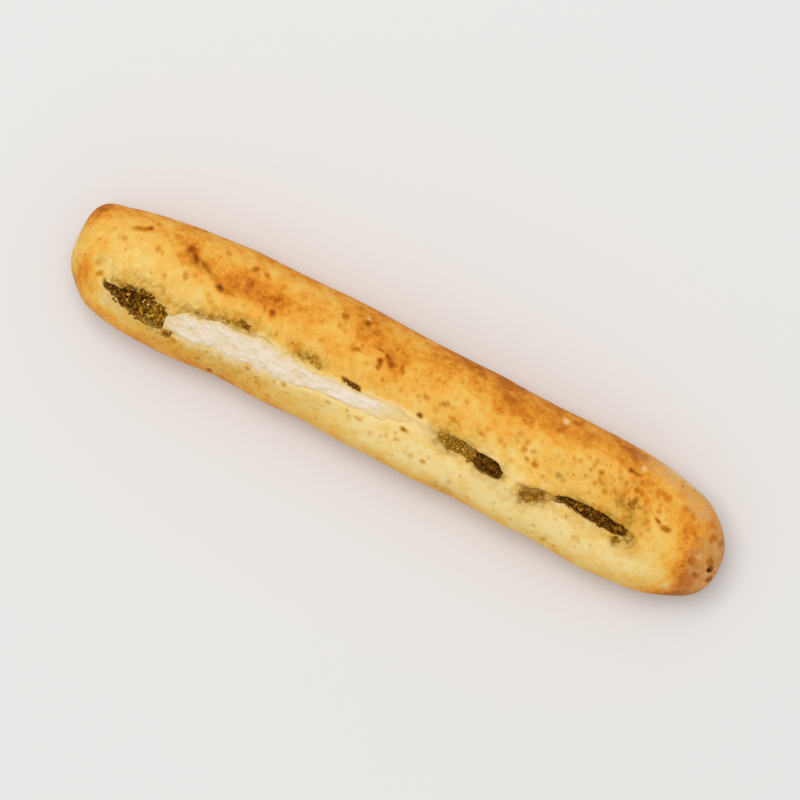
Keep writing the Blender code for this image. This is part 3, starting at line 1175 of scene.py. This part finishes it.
@dataclass
class CrustShell:
    """The whole outer surface of the stick, with its lumps, pores, marks, browning, and some painted
    highlight and shade.
    """

    form: DoughForm
    rings: int = 504
    columns: int = 190
    tear_columns: int = 26
    tear_ease: float = 0.8
    column_growth: float = 1.9
    fine_steps: int = 8001
    scorches: Marks = Marks(SCORCHES, 0.55, 0.38, 31)
    dents: Marks = Marks(SCORCHES, 0.50, 0.30, 31)
    pits: Marks = Marks(PITS, 0.30, 0.15, 41)
    imprints: Marks = Marks(IMPRINTS, 0.60, 0.40, 36)
    hazes: Marks = Marks(HAZES, 0.80, 0.35, 38)
    soaked: Marks = Marks(SOAKED, 0.25, 0.10, 96)
    pale_spots: Marks = Marks(PALE, 0.60, 0.30, 99)
    dulled: Marks = Marks(DULLED, 0.50, 0.28, 91, (2.0, 7.0))
    lumps: tuple[Span, ...] = ((5.0, 0.070), (1.9, 0.030), (0.8, 0.012))
    pore_cell: float = 1.7
    pore_radius: Span = (0.12, 0.24)
    pore_share: float = 0.4
    pore_depth: float = 0.08
    blister_cell: float = 4.6
    blister_radius: Span = (0.5, 1.0)
    blister_share: float = 0.35
    blister_power: float = 1.5
    blister_height: float = 0.06
    pit_depth: float = 0.40
    dent_depth: float = 0.03
    floor_layers: tuple[Span, ...] = ((0.45, 1.0), (0.2, 0.5))
    floor_edge: Span = (0.05, 0.4)
    floor_roughness: float = 0.10
    freckle_edge: Span = (1.5, 0.4)
    freckle_radius: Span = (0.12, 0.30)
    freckle_strength: Span = (0.5, 1.4)
    back_specks: int = 90
    back_half_length: float = 0.47
    back_ways: Span = (0.5, 1.4)
    back_strength: Span = (0.15, 0.45)
    # The rise in browning towards both rims is partly browner crust and partly painted shade along the
    # rims.
    bake_and_rim_shade_levels: tuple[Span, ...] = (
        (-180, 0.84),
        (-140, 0.80),
        (-108, 0.74),
        (-92, 0.60),
        (-77, 0.34),
        (-60, 0.15),
        (-45, 0.06),
        (-30, 0.12),
        (-12, 0.38),
        (0, 0.46),
        (10, 0.52),
        (25, 0.59),
        (35, 0.65),
        (45, 0.70),
        (60, 0.77),
        (75, 0.80),
        (100, 0.80),
        (140, 0.83),
    )
    right_brown: float = 1.1
    right_bake: Ramp = (0.6, 24.5, 31.0)
    left_bake: Ramp = (0.10, -29.0, -32.0)
    patch_heights: Span = (2.6, 5.6)
    bake_layers: tuple[Span, ...] = ((6.0, 0.05),)
    torn_edge: Span = (0.0, 0.12)
    torn_depth: Span = (0.25, 0.6)
    # These seven settings place a painted highlight: a pale band along the right end's upper rim, where
    # light catches it.
    rim_highlight_turn: float = 74.0
    rim_highlight_width: float = 7.0
    rim_highlight_edge: Span = (1.4, 0.4)
    rim_highlight_gaps: Span = (-0.5, 0.3)
    rim_highlight_start: Ramp = (0.8, 22.0, 24.5)
    rim_highlight_end: Span = (29.8, 28.4)
    ridge_cell: tuple[float, float, float] = (2.2, 0.9, 0.9)
    bared_reach: float = 0.55
    bared_layers: tuple[Span, ...] = ((0.4, 0.5),)
    bared_start: Ramp = (0.7, -22.0, -20.5)
    bared_end: Span = (4.2, 2.0)
    seed: int = 11

    def ring_places(self) -> Array:
        """Spaces the rings evenly along the stick's outline, so that the ends are as fine as the middle.

        Returns:
            The rings' places along X.
        """
        half = self.form.length / 2
        fine = -half * np.cos(np.linspace(0, math.pi, self.fine_steps))
        outline = self.form.end_share(fine) * self.form.width / 2
        way = np.concatenate([[0], np.cumsum(np.hypot(np.diff(fine), np.diff(outline)))])
        return np.interp(np.linspace(0, way[-1], self.rings + 2), way, fine)[1:-1]

    def column_ways(self, x: Array) -> Array:
        """Distances round the rod of all columns at each ring: the inner ones keep to the tear's width.

        Args:
            x: Places of the rings.

        Returns:
            One row of distances for each ring.
        """
        half = self.columns // 2
        step = np.arange(half + 1)
        tear = np.minimum(step / self.tear_columns, 1) ** self.tear_ease
        beyond = np.maximum(step - self.tear_columns, 0) / (half - self.tear_columns)
        growth = (self.column_growth - 1) / 2
        spread = (beyond + growth * beyond**2) / (1 + growth)
        rows = []
        for side in (1.0, -1.0):
            width = self.form.tear(x, np.full_like(x, side))[0][:, None]
            rows.append(tear * width + (self.form.half_round - width) * spread)
        return np.concatenate([rows[0][:, :-1], -rows[1][:, :0:-1]], axis=1)

    def inside_tear(self, x: Array, way: Array) -> tuple[Array, Array]:
        """Share from the tear's edge (0) to its middle (1), and the tear's depth, at each point."""
        half_width, depth = self.form.tear(x, side_of(way))
        return np.clip(1 - np.abs(way) / half_width, 0, 1), depth

    def freckles(self, points: Array) -> Array:
        """Soft toasted freckles, in drifts on top and at random on the back, each a dot with a soft edge.

        Args:
            points: The crust's points.

        Returns:
            How strong the strongest freckle is at each point.
        """
        draw = np.random.default_rng(self.seed)
        half = self.form.half_round
        xs, ways, strengths = [], [], []
        for count, drift in FRECKLES:
            x, way = self.form.below(*drift.strew(count, draw))
            xs.append(x)
            ways.append(way)
            strengths.append(drift.strength * draw.uniform(*self.freckle_strength, count))
        back = self.back_half_length
        xs.append(draw.uniform(-back, back, self.back_specks) * self.form.length)
        ways.append(draw.uniform(*self.back_ways, self.back_specks) * half)
        strengths.append(draw.uniform(*self.back_strength, self.back_specks))
        middles = self.form.surface(np.concatenate(xs), np.concatenate(ways), open_seam=False)
        radii = draw.uniform(*self.freckle_radius, len(middles))
        total = np.zeros(points.shape[:-1])
        for middle, radius, strength in zip(middles, radii, np.concatenate(strengths)):
            near = np.abs(points[..., 0] - middle[0]) < 2 * radius
            reach = np.linalg.norm(points[near] - middle, axis=-1) / radius
            total[near] = np.maximum(total[near], strength * smooth_step(*self.freckle_edge, reach))
        return total

    def relief(self, points: Array, x: Array, way: Array) -> Array:
        """Fine relief over the form: lumps, pores, blisters, marks and pits, and the tear's rough floor.

        Args:
            points: The bare surface's points.
            x: Their places along the rod.
            way: Their distances round it.

        Returns:
            How far each point is raised.
        """
        seed = self.seed
        lift = layered_noise(points, self.lumps, seed)
        pores = scattered_dots(points, self.pore_cell, self.pore_radius, self.pore_share, seed + 40)
        lift -= self.pore_depth * pores
        dome = scattered_dots(points, self.blister_cell, self.blister_radius, self.blister_share, seed + 50)
        lift += self.blister_height * dome**self.blister_power
        lift -= self.dent_depth * self.dents.show(points)
        lift -= self.pit_depth * self.pits.show(points)
        inside, depth = self.inside_tear(x, way)
        rough = layered_noise(points, self.floor_layers, seed + 60)
        in_floor = smooth_step(*self.floor_edge, inside)
        return lift + self.floor_roughness * in_floor * rough * np.clip(depth, 0, 1)

    def bake_and_painted_light(self, points: Array, x: Array, turn: Array) -> Array:
        """How brown the crust is, from 0, cream, to 1, brown.

        It follows the direction from the rod's middle through fixed levels, grows as a smooth step towards
        each end, and gains or loses a bell curve at each patch, which fades out down the sides. Near both
        rims the levels, and the patches along the lower rim, are partly browner crust and partly painted
        shade; the paler patch on the left end is partly a painted highlight.

        Args:
            points: The crust's points.
            x: Their places along the rod.
            turn: Their directions from the top towards +Y.

        Returns:
            The browning at each point, with its painted shade and highlight.
        """
        turns, levels = zip(*self.bake_and_rim_shade_levels)
        value = np.interp(np.degrees(turn), turns, levels, period=360)
        value += (self.right_brown - value) * ramped(self.right_bake, x) + ramped(self.left_bake, x)
        upper = smooth_step(*self.patch_heights, points[..., 2])
        for patch in BAKE_AND_PAINTED_LIGHT_PATCHES:
            value += patch.strength * np.exp(-(patch.reach(points) ** 2)) * upper
        return value + layered_noise(points, self.bake_layers, self.seed + 70)

    def pale(self, points: Array, x: Array, way: Array, turn: Array) -> Array:
        """Where the crust is pale: a painted rim highlight on the right end, beside the wide tear, and in
        spots.

        The first two fall off as smooth steps of the distance from the highlight's line and from the tear's
        edge, and noise breaks them up. The highlight is painted light along the right end's upper rim, not
        paler crust.

        Args:
            points: The crust's points.
            x: Their places along the rod.
            way: Their distances round it.
            turn: Their directions from the top towards +Y.

        Returns:
            How pale each point is, from 0 to 1.
        """
        # Painted highlight along the right end's upper rim.
        off_rim_highlight = np.abs(np.degrees(turn) - self.rim_highlight_turn) / self.rim_highlight_width
        painted_rim_highlight = smooth_step(*self.rim_highlight_edge, off_rim_highlight)
        painted_rim_highlight *= ramped(self.rim_highlight_start, x) * smooth_step(*self.rim_highlight_end, x)
        painted_rim_highlight *= smooth_step(*self.rim_highlight_gaps, soft_noise(points, self.ridge_cell, self.seed + 86))
        beside = np.maximum(np.abs(way) - self.form.tear(x, side_of(way))[0], 0) / self.bared_reach
        beside = smooth_step(1, 0, beside + layered_noise(points, self.bared_layers, self.seed + 90))
        beside *= ramped(self.bared_start, x) * smooth_step(*self.bared_end, x)
        return np.maximum(np.maximum(painted_rim_highlight, beside), self.pale_spots.show(points))

    def fields(self, points: Array, x: Array, way: Array) -> dict[str, Array]:
        """Works out what the crust's finish reads: browning with painted rim shade, scorch, haze, olive,
        soaked, inside and dull.

        Args:
            points: The crust's points.
            x: Their places along the rod.
            way: Their distances round it.

        Returns:
            The fields by name.
        """
        turn = self.form.turn(x, way)
        inside, depth = self.inside_tear(x, way)
        torn = smooth_step(*self.torn_edge, inside) * smooth_step(*self.torn_depth, depth)
        soaked = self.soaked.show(points)
        scorch = np.maximum(self.scorches.show(points), self.freckles(points))
        return {
            "bake_and_painted_light": self.bake_and_painted_light(points, x, turn),
            # The pits darken here too: partly burnt crust, partly painted shade in the holes.
            "scorch": np.maximum(scorch, self.pits.show(points)),
            "haze": self.hazes.show(points),
            "olive": self.imprints.show(points),
            "soaked": torn * soaked,
            # The pale field also holds painted highlights along the right end's rim and a slit's lip.
            "inside": np.maximum(torn * (1 - soaked), self.pale(points, x, way, turn)),
            "dull": self.dulled.show(points),
        }

    def build(self, material: bpy.types.Material) -> bpy.types.Object:
        """Makes the crust, with its fields stored for the finish.

        Args:
            material: The crust's finish.

        Returns:
            The finished piece.
        """
        places = self.ring_places()
        way = self.column_ways(places)
        x = np.broadcast_to(places[:, None], way.shape)
        rings = self.form.surface(x, way, self.relief(self.form.surface(x, way), x, way))
        tips = np.array([-1.0, 1.0]) * self.form.length / 2
        first, last = self.form.surface(tips, np.zeros(2))
        piece = make_piece("baked_crust", with_poles(rings, first, last), *ring_faces(*way.shape), material)
        for name, values in self.fields(rings, x, way).items():
            set_field(piece, name, with_poles(values))
        return piece


@dataclass
class CrumbPatch:
    """The white crumb bared by the wide tear: a closed pad with a fibrous, porous top."""

    form: DoughForm
    start: float = -21.72
    end: float = 1.8
    stations: int = 620
    top_columns: int = 72
    floor_columns: int = 10
    reach: float = 1.22
    level: float = 0.17
    flush: Ramp = (0.09, -10.0, -5.0)
    edge_drop: float = 0.10
    edge_power: float = 4.0
    tip_drop: float = 0.3
    thickness: float = 0.95
    floor_power: int = 6
    tapers: Span = (0.20, 2.6)
    ridge_cell: tuple[float, float, float] = (1.1, 0.45, 0.6)
    ridge_finer: float = 1.9
    ridge_share: float = 0.6
    ridge_height: float = 0.13
    knob_layers: tuple[Span, ...] = ((0.34, 1.0), (0.17, 0.5))
    knob_height: float = 0.04
    pore_cell: float = 0.85
    pore_radius: Span = (0.12, 0.30)
    pore_share: float = 0.8
    pore_depth: float = 0.08
    tan_level: float = 0.24
    # Painted shade in the crumb's hollows and pores, and painted light on its knobs.
    painted_hollow_shade: float = 0.30
    painted_knob_light: float = 0.16
    tan_edge: Ramp = (0.75, 0.42, 0.86)
    tan_right: Ramp = (0.80, -2.2, 0.4)
    tan_slant: float = 0.7
    tan_left: Ramp = (0.35, -19.5, -21.6)
    seed: int = 301

    def build(self, material: bpy.types.Material) -> bpy.types.Object:
        """Makes the crumb: rings across the tear, whose upper part is torn and whose lower part is hidden.

        The top's height is its level less edge_drop s^4 of the share s from the middle to the tear's edge,
        plus stretched noise for the torn fibres and finer noise for the crumbs, less the pores. Where it
        dips under the crust, its edge shows ragged. The field that the finish turns to tan is painted shade
        where it grows in the hollows and pores, painted light where it falls on the knobs, and real tan
        where it grows towards the tear's edges and towards both tips.

        Args:
            material: The crumb's finish.

        Returns:
            The finished piece.
        """
        x = np.linspace(self.start, self.end, self.stations)[:, None]
        top = np.linspace(-1, 1, self.top_columns)
        floor = np.linspace(1, -1, self.floor_columns + 2)[1:-1]
        across = np.concatenate([top, floor])[None, :]
        on_top = np.concatenate([np.ones_like(top), np.zeros_like(floor)])[None, :]
        x, across, on_top = np.broadcast_arrays(x, across, on_top)
        width, _ = self.form.tear(x, side_of(across))
        taper = smooth_step(self.start, self.start + self.tapers[0], x)
        taper = np.sqrt(taper * smooth_step(self.end, self.end - self.tapers[1], x))
        way = across * width * self.reach * taper
        skin = self.form.surface(x, way, open_seam=False)
        finer = soft_noise(skin * self.ridge_finer, self.ridge_cell, self.seed + 1)
        ridges = soft_noise(skin, self.ridge_cell, self.seed) + self.ridge_share * finer
        ridges /= 1 + self.ridge_share
        knobs = layered_noise(skin, self.knob_layers, self.seed + 2)
        pores = scattered_dots(skin, self.pore_cell, self.pore_radius, self.pore_share, self.seed + 10)
        height = self.level - ramped(self.flush, x) - self.tip_drop * (1 - taper)
        height -= self.edge_drop * np.abs(across * self.reach) ** self.edge_power
        height += self.ridge_height * ridges + self.knob_height * knobs - self.pore_depth * pores
        hidden = self.level - self.thickness * (1 - across**self.floor_power)
        height = np.where(on_top > 0, height, hidden)
        rings = self.form.surface(x, way, height, open_seam=False)
        piece = make_piece("torn_crumb", with_poles(rings), *ring_faces(*across.shape), material)
        # Painted shade in hollows and pores, painted light on knobs; then real tan towards the edges and
        # tips.
        shade_and_tan = self.tan_level + self.painted_hollow_shade * (pores - ridges) - self.painted_knob_light * knobs
        shade_and_tan += ramped(self.tan_edge, np.abs(across)) + ramped(self.tan_left, x)
        shade_and_tan += ramped(self.tan_right, x - self.tan_slant * across)
        set_field(piece, "hollow_shade_and_tan", with_poles(np.clip(shade_and_tan, 0, 1)))
        return piece


class Bit(Enum):
    """The kinds of small bits that are baked onto the stick."""

    LEAF = "herb_leaf_flakes"
    STALK = "herb_stalk_bits"
    TOAST = "toasted_herb_specks"
    GRANULE = "garlic_granules"


@dataclass(frozen=True)
class BitShape:
    """How one kind of bit is cut, in millimetres and shares of its radius."""

    radius: Span
    slimness: Span
    thickness: float
    curl: float
    ragged: float
    tilt: float
    sink: float


BIT_SHAPES = {
    Bit.LEAF: BitShape((0.16, 0.46), (0.35, 0.85), 0.12, 0.50, 0.35, 0.60, 0.0),
    Bit.STALK: BitShape((0.30, 0.75), (0.10, 0.18), 0.10, 0.25, 0.15, 0.35, 0.0),
    Bit.TOAST: BitShape((0.07, 0.20), (0.40, 0.95), 0.25, 0.20, 0.35, 0.20, 0.03),
    Bit.GRANULE: BitShape((0.09, 0.22), (0.70, 1.00), 0.65, 0.05, 0.22, 0.40, 0.02),
}


@dataclass(frozen=True)
class Drift:
    """A drift of bits over an ellipse: kind, number, how high they stack in a tear, size and tone."""

    kind: Bit
    count: int
    where: Spot
    stack: float = 0.0
    size: float = 1.0
    tone: Span = (0.0, 1.0)


# Where the bits lie, left to right along the seam and then over the open crust.
DRIFTS = (
    Drift(Bit.LEAF, 80, Spot(-27.0, -2.25, 1.1, 0.36, -8), 0.45, 0.60, (0.1, 0.7)),
    Drift(Bit.LEAF, 260, Spot(-24.9, -2.35, 1.7, 0.85, -12), 0.60, 0.78, (0.0, 0.55)),
    Drift(Bit.LEAF, 130, Spot(-25.4, -3.05, 1.6, 0.26, -16), 0.60, 0.60, (0.1, 0.70)),
    Drift(Bit.LEAF, 280, Spot(-22.9, -2.62, 1.4, 0.92, -12), 0.72, 0.70, (0.4, 1.0)),
    Drift(Bit.LEAF, 100, Spot(-22.0, -2.6, 0.40, 1.05, 0), 0.72, 0.70, (0.1, 0.8)),
    Drift(Bit.STALK, 24, Spot(-24.2, -2.5, 2.6, 0.7, -14), 0.60, 0.8),
    Drift(Bit.GRANULE, 18, Spot(-23.8, -2.5, 2.6, 0.8, -14), 0.72, 0.7, (0.0, 0.5)),
    Drift(Bit.GRANULE, 4, Spot(-23.6, -2.1, 0.16, 0.16), 0.85, 1.2, (0.5, 0.8)),
    Drift(Bit.GRANULE, 5, Spot(-25.7, -2.2, 0.22, 0.18), 0.80, 1.2, (0.0, 0.1)),
    # Darker bits along the herb pocket's upper edge: dark herbs, and painted shade under the lip.
    Drift(Bit.LEAF, 90, Spot(-24.7, -1.48, 1.5, 0.30, 2), 0.1, 0.52, (0.0, 0.35)),
    Drift(Bit.LEAF, 70, Spot(-24.2, -3.20, 2.2, 0.28, -14), 0.1, 0.45, (0.1, 0.8)),
    Drift(Bit.LEAF, 16, Spot(-21.1, -3.7, 0.5, 0.30), 0.3, 0.5, (0.1, 0.7)),
    Drift(Bit.LEAF, 14, Spot(-18.3, -0.80, 1.5, 0.22, 6), 0.1, 0.40, (0.4, 1.0)),
    Drift(Bit.LEAF, 30, Spot(-15.3, -0.12, 0.8, 0.22, 8), 0.1, 0.50, (0.1, 0.8)),
    Drift(Bit.LEAF, 12, Spot(-8.6, -0.35, 1.4, 0.28, -4), 0.1, 0.45, (0.5, 1.0)),
    Drift(Bit.LEAF, 14, Spot(-4.4, -0.68, 0.85, 0.12, -10), 0.0, 0.55, (0.1, 0.4)),
    Drift(Bit.LEAF, 120, Spot(6.5, -1.45, 2.0, 0.54, -8), 0.30, 0.66, (0.5, 0.95)),
    Drift(Bit.LEAF, 160, Spot(9.6, -1.82, 1.3, 0.60, -12), 0.48, 0.72, (0.0, 0.50)),
    Drift(Bit.GRANULE, 6, Spot(7.6, -1.6, 2.6, 0.5, -8), 0.6, 0.7, (0.0, 0.6)),
    Drift(Bit.LEAF, 40, Spot(14.1, -2.50, 1.3, 0.46, 14), 0.1, 0.60, (0.3, 0.8)),
    Drift(Bit.LEAF, 70, Spot(17.3, -1.60, 1.3, 0.28, -4), 0.4, 0.60, (0.0, 0.5)),
    Drift(Bit.LEAF, 210, Spot(20.2, -1.68, 2.5, 0.54, -6), 0.52, 0.72, (0.0, 0.60)),
    Drift(Bit.STALK, 10, Spot(19.8, -1.8, 2.4, 0.5, -5), 0.5, 0.8, (0.1, 0.8)),
    Drift(Bit.GRANULE, 8, Spot(19.8, -1.8, 2.7, 0.5, -5), 0.6, 0.7, (0.0, 0.5)),
    Drift(Bit.LEAF, 16, Spot(22.4, -2.5, 0.4, 0.50), 0.1, 0.55, (0.3, 0.8)),
    Drift(Bit.TOAST, 12, Spot(23.3, -2.2, 1.0, 0.7), 0.0, 0.8),
    Drift(Bit.TOAST, 6, Spot(22.4, 0.5, 1.0, 0.8), 0.0, 0.9, (0.0, 0.6)),
    Drift(Bit.TOAST, 6, Spot(20.6, 1.2, 5.2, 2.0, -6), 0.0, 0.7, (0.4, 1.0)),
    Drift(Bit.TOAST, 4, Spot(-20.0, 2.8, 8.0, 2.2), 0.0, 0.7, (0.4, 1.0)),
    Drift(Bit.TOAST, 4, Spot(-3.0, 2.6, 7.0, 2.0), 0.0, 0.7, (0.4, 1.0)),
    Drift(Bit.TOAST, 6, Spot(0.0, -3.9, 24.0, 1.2), 0.0, 0.7, (0.5, 1.0)),
    Drift(Bit.TOAST, 8, Spot(0.0, 0.0, 30.0, 5.6), 0.0, 0.6, (0.5, 1.0)),
    Drift(Bit.GRANULE, 14, Spot(0.0, 0.5, 29.0, 5.2), 0.0, 0.6, (0.2, 0.8)),
    Drift(Bit.GRANULE, 1, Spot(-5.55, 5.20, 0.05, 0.05), 0.0, 0.9, (0.6, 0.8)),
    Drift(Bit.GRANULE, 2, Spot(28.3, -4.40, 0.10, 0.10), 0.0, 0.9, (0.5, 0.7)),
)


@dataclass
class BitScatter:
    """All the bits of one kind, joined as one piece."""

    form: DoughForm
    kind: Bit
    spokes: int = 7
    spoke_play: float = 0.25
    curl_span: Span = (-1.0, 0.3)
    twist_span: Span = (-0.8, 0.8)
    inner_ring: float = 0.6
    inner_thickness: float = 0.8
    open_tilt: float = 0.35
    settling: float = 0.6
    pile_top: float = 0.08
    seed: int = 500

    def build(self, material: bpy.types.Material) -> bpy.types.Object:
        """Makes the bits: each a closed ragged lens that is curled, turned and laid on the surface.

        A bit's own height is curl a^2 + twist a b of its flat coordinates a and b, plus or minus half its
        thickness in the middle and nothing at its rim. Bits in a tear pile up by chance on its floor, at
        most to pile_top above the untorn skin, and those near the top of the pile lie flatter.

        Args:
            material: The bits' finish.

        Returns:
            The finished piece.
        """
        shape = BIT_SHAPES[self.kind]
        drifts = [drift for drift in DRIFTS if drift.kind is self.kind]
        draw = np.random.default_rng(self.seed + len(self.kind.value))
        plan = np.concatenate([drift.where.strew(drift.count, draw) for drift in drifts], axis=1)
        x, way = self.form.below(*plan)
        counts = [drift.count for drift in drifts]
        stack = np.repeat([drift.stack for drift in drifts], counts)
        size = np.repeat([drift.size for drift in drifts], counts)
        tone = np.concatenate([draw.uniform(*drift.tone, drift.count) for drift in drifts])
        count, spokes = len(x), self.spokes

        here, along, across, outward = self.form.axes(x, way)
        half_width, depth = self.form.tear(x, side_of(way))
        in_tear = np.abs(way) < half_width
        sunk = np.einsum("ij,ij->i", self.form.surface(x, way) - here, outward)
        radius = size * draw.uniform(*shape.radius, count)
        slim = draw.uniform(*shape.slimness, count)
        rise = draw.uniform(0, 1, count)
        piled = np.minimum(sunk + stack * rise * np.where(in_tear, depth, 0), self.pile_top)
        level = np.maximum(sunk, piled)
        level += (shape.thickness * slim / 2 - shape.sink) * radius

        spin = draw.uniform(0, 2 * math.pi, count)[:, None]
        loose = np.where(in_tear, 1 - self.settling * rise, self.open_tilt)
        lean = draw.normal(0, shape.tilt, (count, 2)) * loose[:, None]
        first = np.cos(spin) * along + np.sin(spin) * across + outward * lean[:, :1]
        first /= np.linalg.norm(first, axis=-1, keepdims=True)
        second = np.cross(outward + lean[:, 1:] * np.cross(outward, first), first)
        second /= np.linalg.norm(second, axis=-1, keepdims=True)
        up = np.cross(first, second)

        angle = np.arange(spokes) * 2 * math.pi / spokes
        angle = angle + draw.uniform(-self.spoke_play, self.spoke_play, (count, spokes))
        rim = 1 + shape.ragged * draw.uniform(-1, 1, (count, spokes))
        curl = shape.curl * draw.uniform(*self.curl_span, (count, 1))
        twist = shape.curl * draw.uniform(*self.twist_span, (count, 1))
        layers = []
        inner, thick = self.inner_ring, self.inner_thickness
        for share, side in ((0.0, 1.0), (inner, thick), (1.0, 0.0), (inner, -thick), (0.0, -1.0)):
            rays = 1 if share == 0 else spokes
            a = share * (rim * np.cos(angle))[:, :rays]
            b = share * (rim * np.sin(angle))[:, :rays] * slim[:, None]
            c = curl * a**2 + twist * a * b + side * shape.thickness * slim[:, None] / 2
            parts = ((first, a), (second, b), (up, c))
            layers.append(sum(axis[:, None, :] * part[..., None] for axis, part in parts))
        bits = np.concatenate(layers, axis=1) * radius[:, None, None]
        bits += (here + outward * level[:, None])[:, None, :]

        quads, triangles = ring_faces(3, spokes)
        corners = bits.shape[1]
        steps = (np.arange(count) * corners)[:, None, None]
        all_quads = (quads[None] + steps).reshape(-1, 4)
        all_triangles = (triangles[None] + steps).reshape(-1, 3)
        piece = make_piece(self.kind.value, bits.reshape(-1, 3), all_quads, all_triangles, material)
        set_field(piece, "tone", np.repeat(tone, corners))
        return piece


@dataclass
class Studio:
    """A plain pale floor, soft studio light, and a camera that looks straight down on the stick."""

    roll: float = math.radians(26)
    distance: float = 0.50
    frame_width: float = 0.071
    sensor: float = 36.0
    clip: Span = (0.01, 20.0)
    floor_size: float = 4.0
    floor_colour: str = "#e5e4e2"
    paper_mottle: float = 40.0
    paper_roughness: Span = (0.8, 0.95)
    sky: str = "#ffffff"
    sky_strength: float = 0.62
    key_power: float = 1.40
    key_size: float = 0.25
    key_azimuth: float = math.radians(150)
    key_lean: float = math.radians(11)
    key_distance: float = 0.55

    def floor(self) -> None:
        """Lays the floor: one large sheet of matt paper, on which only the stick's soft shade shows."""
        finish = Finish.start("matt_paper")
        rough = finish.spread(finish.noise(self.paper_mottle), (0.0, 1.0), self.paper_roughness)
        finish.tree.links.new(rough, finish.shader.inputs["Roughness"])
        finish.shader.inputs["Base Color"].default_value = linear(self.floor_colour)
        half = self.floor_size / 2
        mesh = bpy.data.meshes.new("floor")
        corners = [(-half, -half, 0.0), (half, -half, 0.0), (half, half, 0.0), (-half, half, 0.0)]
        mesh.from_pydata(corners, [], [(0, 1, 2, 3)])
        mesh.materials.append(finish.material)
        sheet = bpy.data.objects.new("floor", mesh)
        bpy.context.scene.collection.objects.link(sheet)

    def key_light(self) -> None:
        """Hangs one square soft light that faces the stick."""
        light = bpy.data.lights.new("key", "AREA")
        light.energy, light.size = self.key_power, self.key_size
        lamp = bpy.data.objects.new("key", light)
        out = math.sin(self.key_lean) * self.key_distance
        up = math.cos(self.key_lean) * self.key_distance
        lamp.location = (out * math.cos(self.key_azimuth), out * math.sin(self.key_azimuth), up)
        lamp.rotation_euler = (0.0, self.key_lean, self.key_azimuth)
        bpy.context.scene.collection.objects.link(lamp)

    def camera(self, middle: Array) -> None:
        """Sets the camera straight above the stick, rolled so that the stick runs down to the right.

        Args:
            middle: The middle of the stick, in metres.
        """
        data = bpy.data.cameras.new("camera")
        data.sensor_width = self.sensor
        data.lens = self.sensor * self.distance / self.frame_width
        data.clip_start, data.clip_end = self.clip
        camera = bpy.data.objects.new("camera", data)
        camera.location = (middle[0], middle[1], middle[2] + self.distance)
        camera.rotation_euler = (0.0, 0.0, self.roll)
        bpy.context.scene.collection.objects.link(camera)
        bpy.context.scene.camera = camera

    def build(self, middle: Array) -> None:
        """Sets up the floor, the sky, the key light and the camera.

        Args:
            middle: The middle of the stick, in metres.
        """
        self.floor()
        world = bpy.data.worlds.new("soft_sky")
        world.use_nodes = True
        sky = world.node_tree.nodes["Background"]
        sky.inputs["Color"].default_value = linear(self.sky)
        sky.inputs["Strength"].default_value = self.sky_strength
        bpy.context.scene.world = world
        self.key_light()
        self.camera(middle)
        bpy.context.scene.view_settings.view_transform = "Standard"


def finished(piece: bpy.types.Object) -> None:
    """Makes a piece ride with the stick and reports it.

    Args:
        piece: The finished piece.
    """
    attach(piece, BODY)
    log.info("%s: %d points, %d faces", piece.name, len(piece.data.vertices), len(piece.data.polygons))


def main() -> None:
    """Loads the frame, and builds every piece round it."""
    logging.basicConfig(level=logging.INFO, format="%(name)s: %(message)s")
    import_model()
    low, high = (np.array(corner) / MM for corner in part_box(NODE))
    form = DoughForm().fitted(low, high)

    crust = CrustShell(form).build(BakedCrust().material())
    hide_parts(NODE)
    finished(crust)
    finished(CrumbPatch(form).build(TornCrumb().material()))
    herb, toast, garlic = (finish.material() for finish in (DRIED_HERB, TOASTED_HERB, DRIED_GARLIC))
    for kind, material, slot in (
        (Bit.LEAF, herb, "herbs"),
        (Bit.STALK, herb, "herbs"),
        (Bit.TOAST, toast, "herbs"),
        (Bit.GRANULE, garlic, "garlic"),
    ):
        finished(BitScatter(form, kind).build(material))

    Studio().build((low + high) / 2 * MM)


if __name__ == "__main__":
    main()
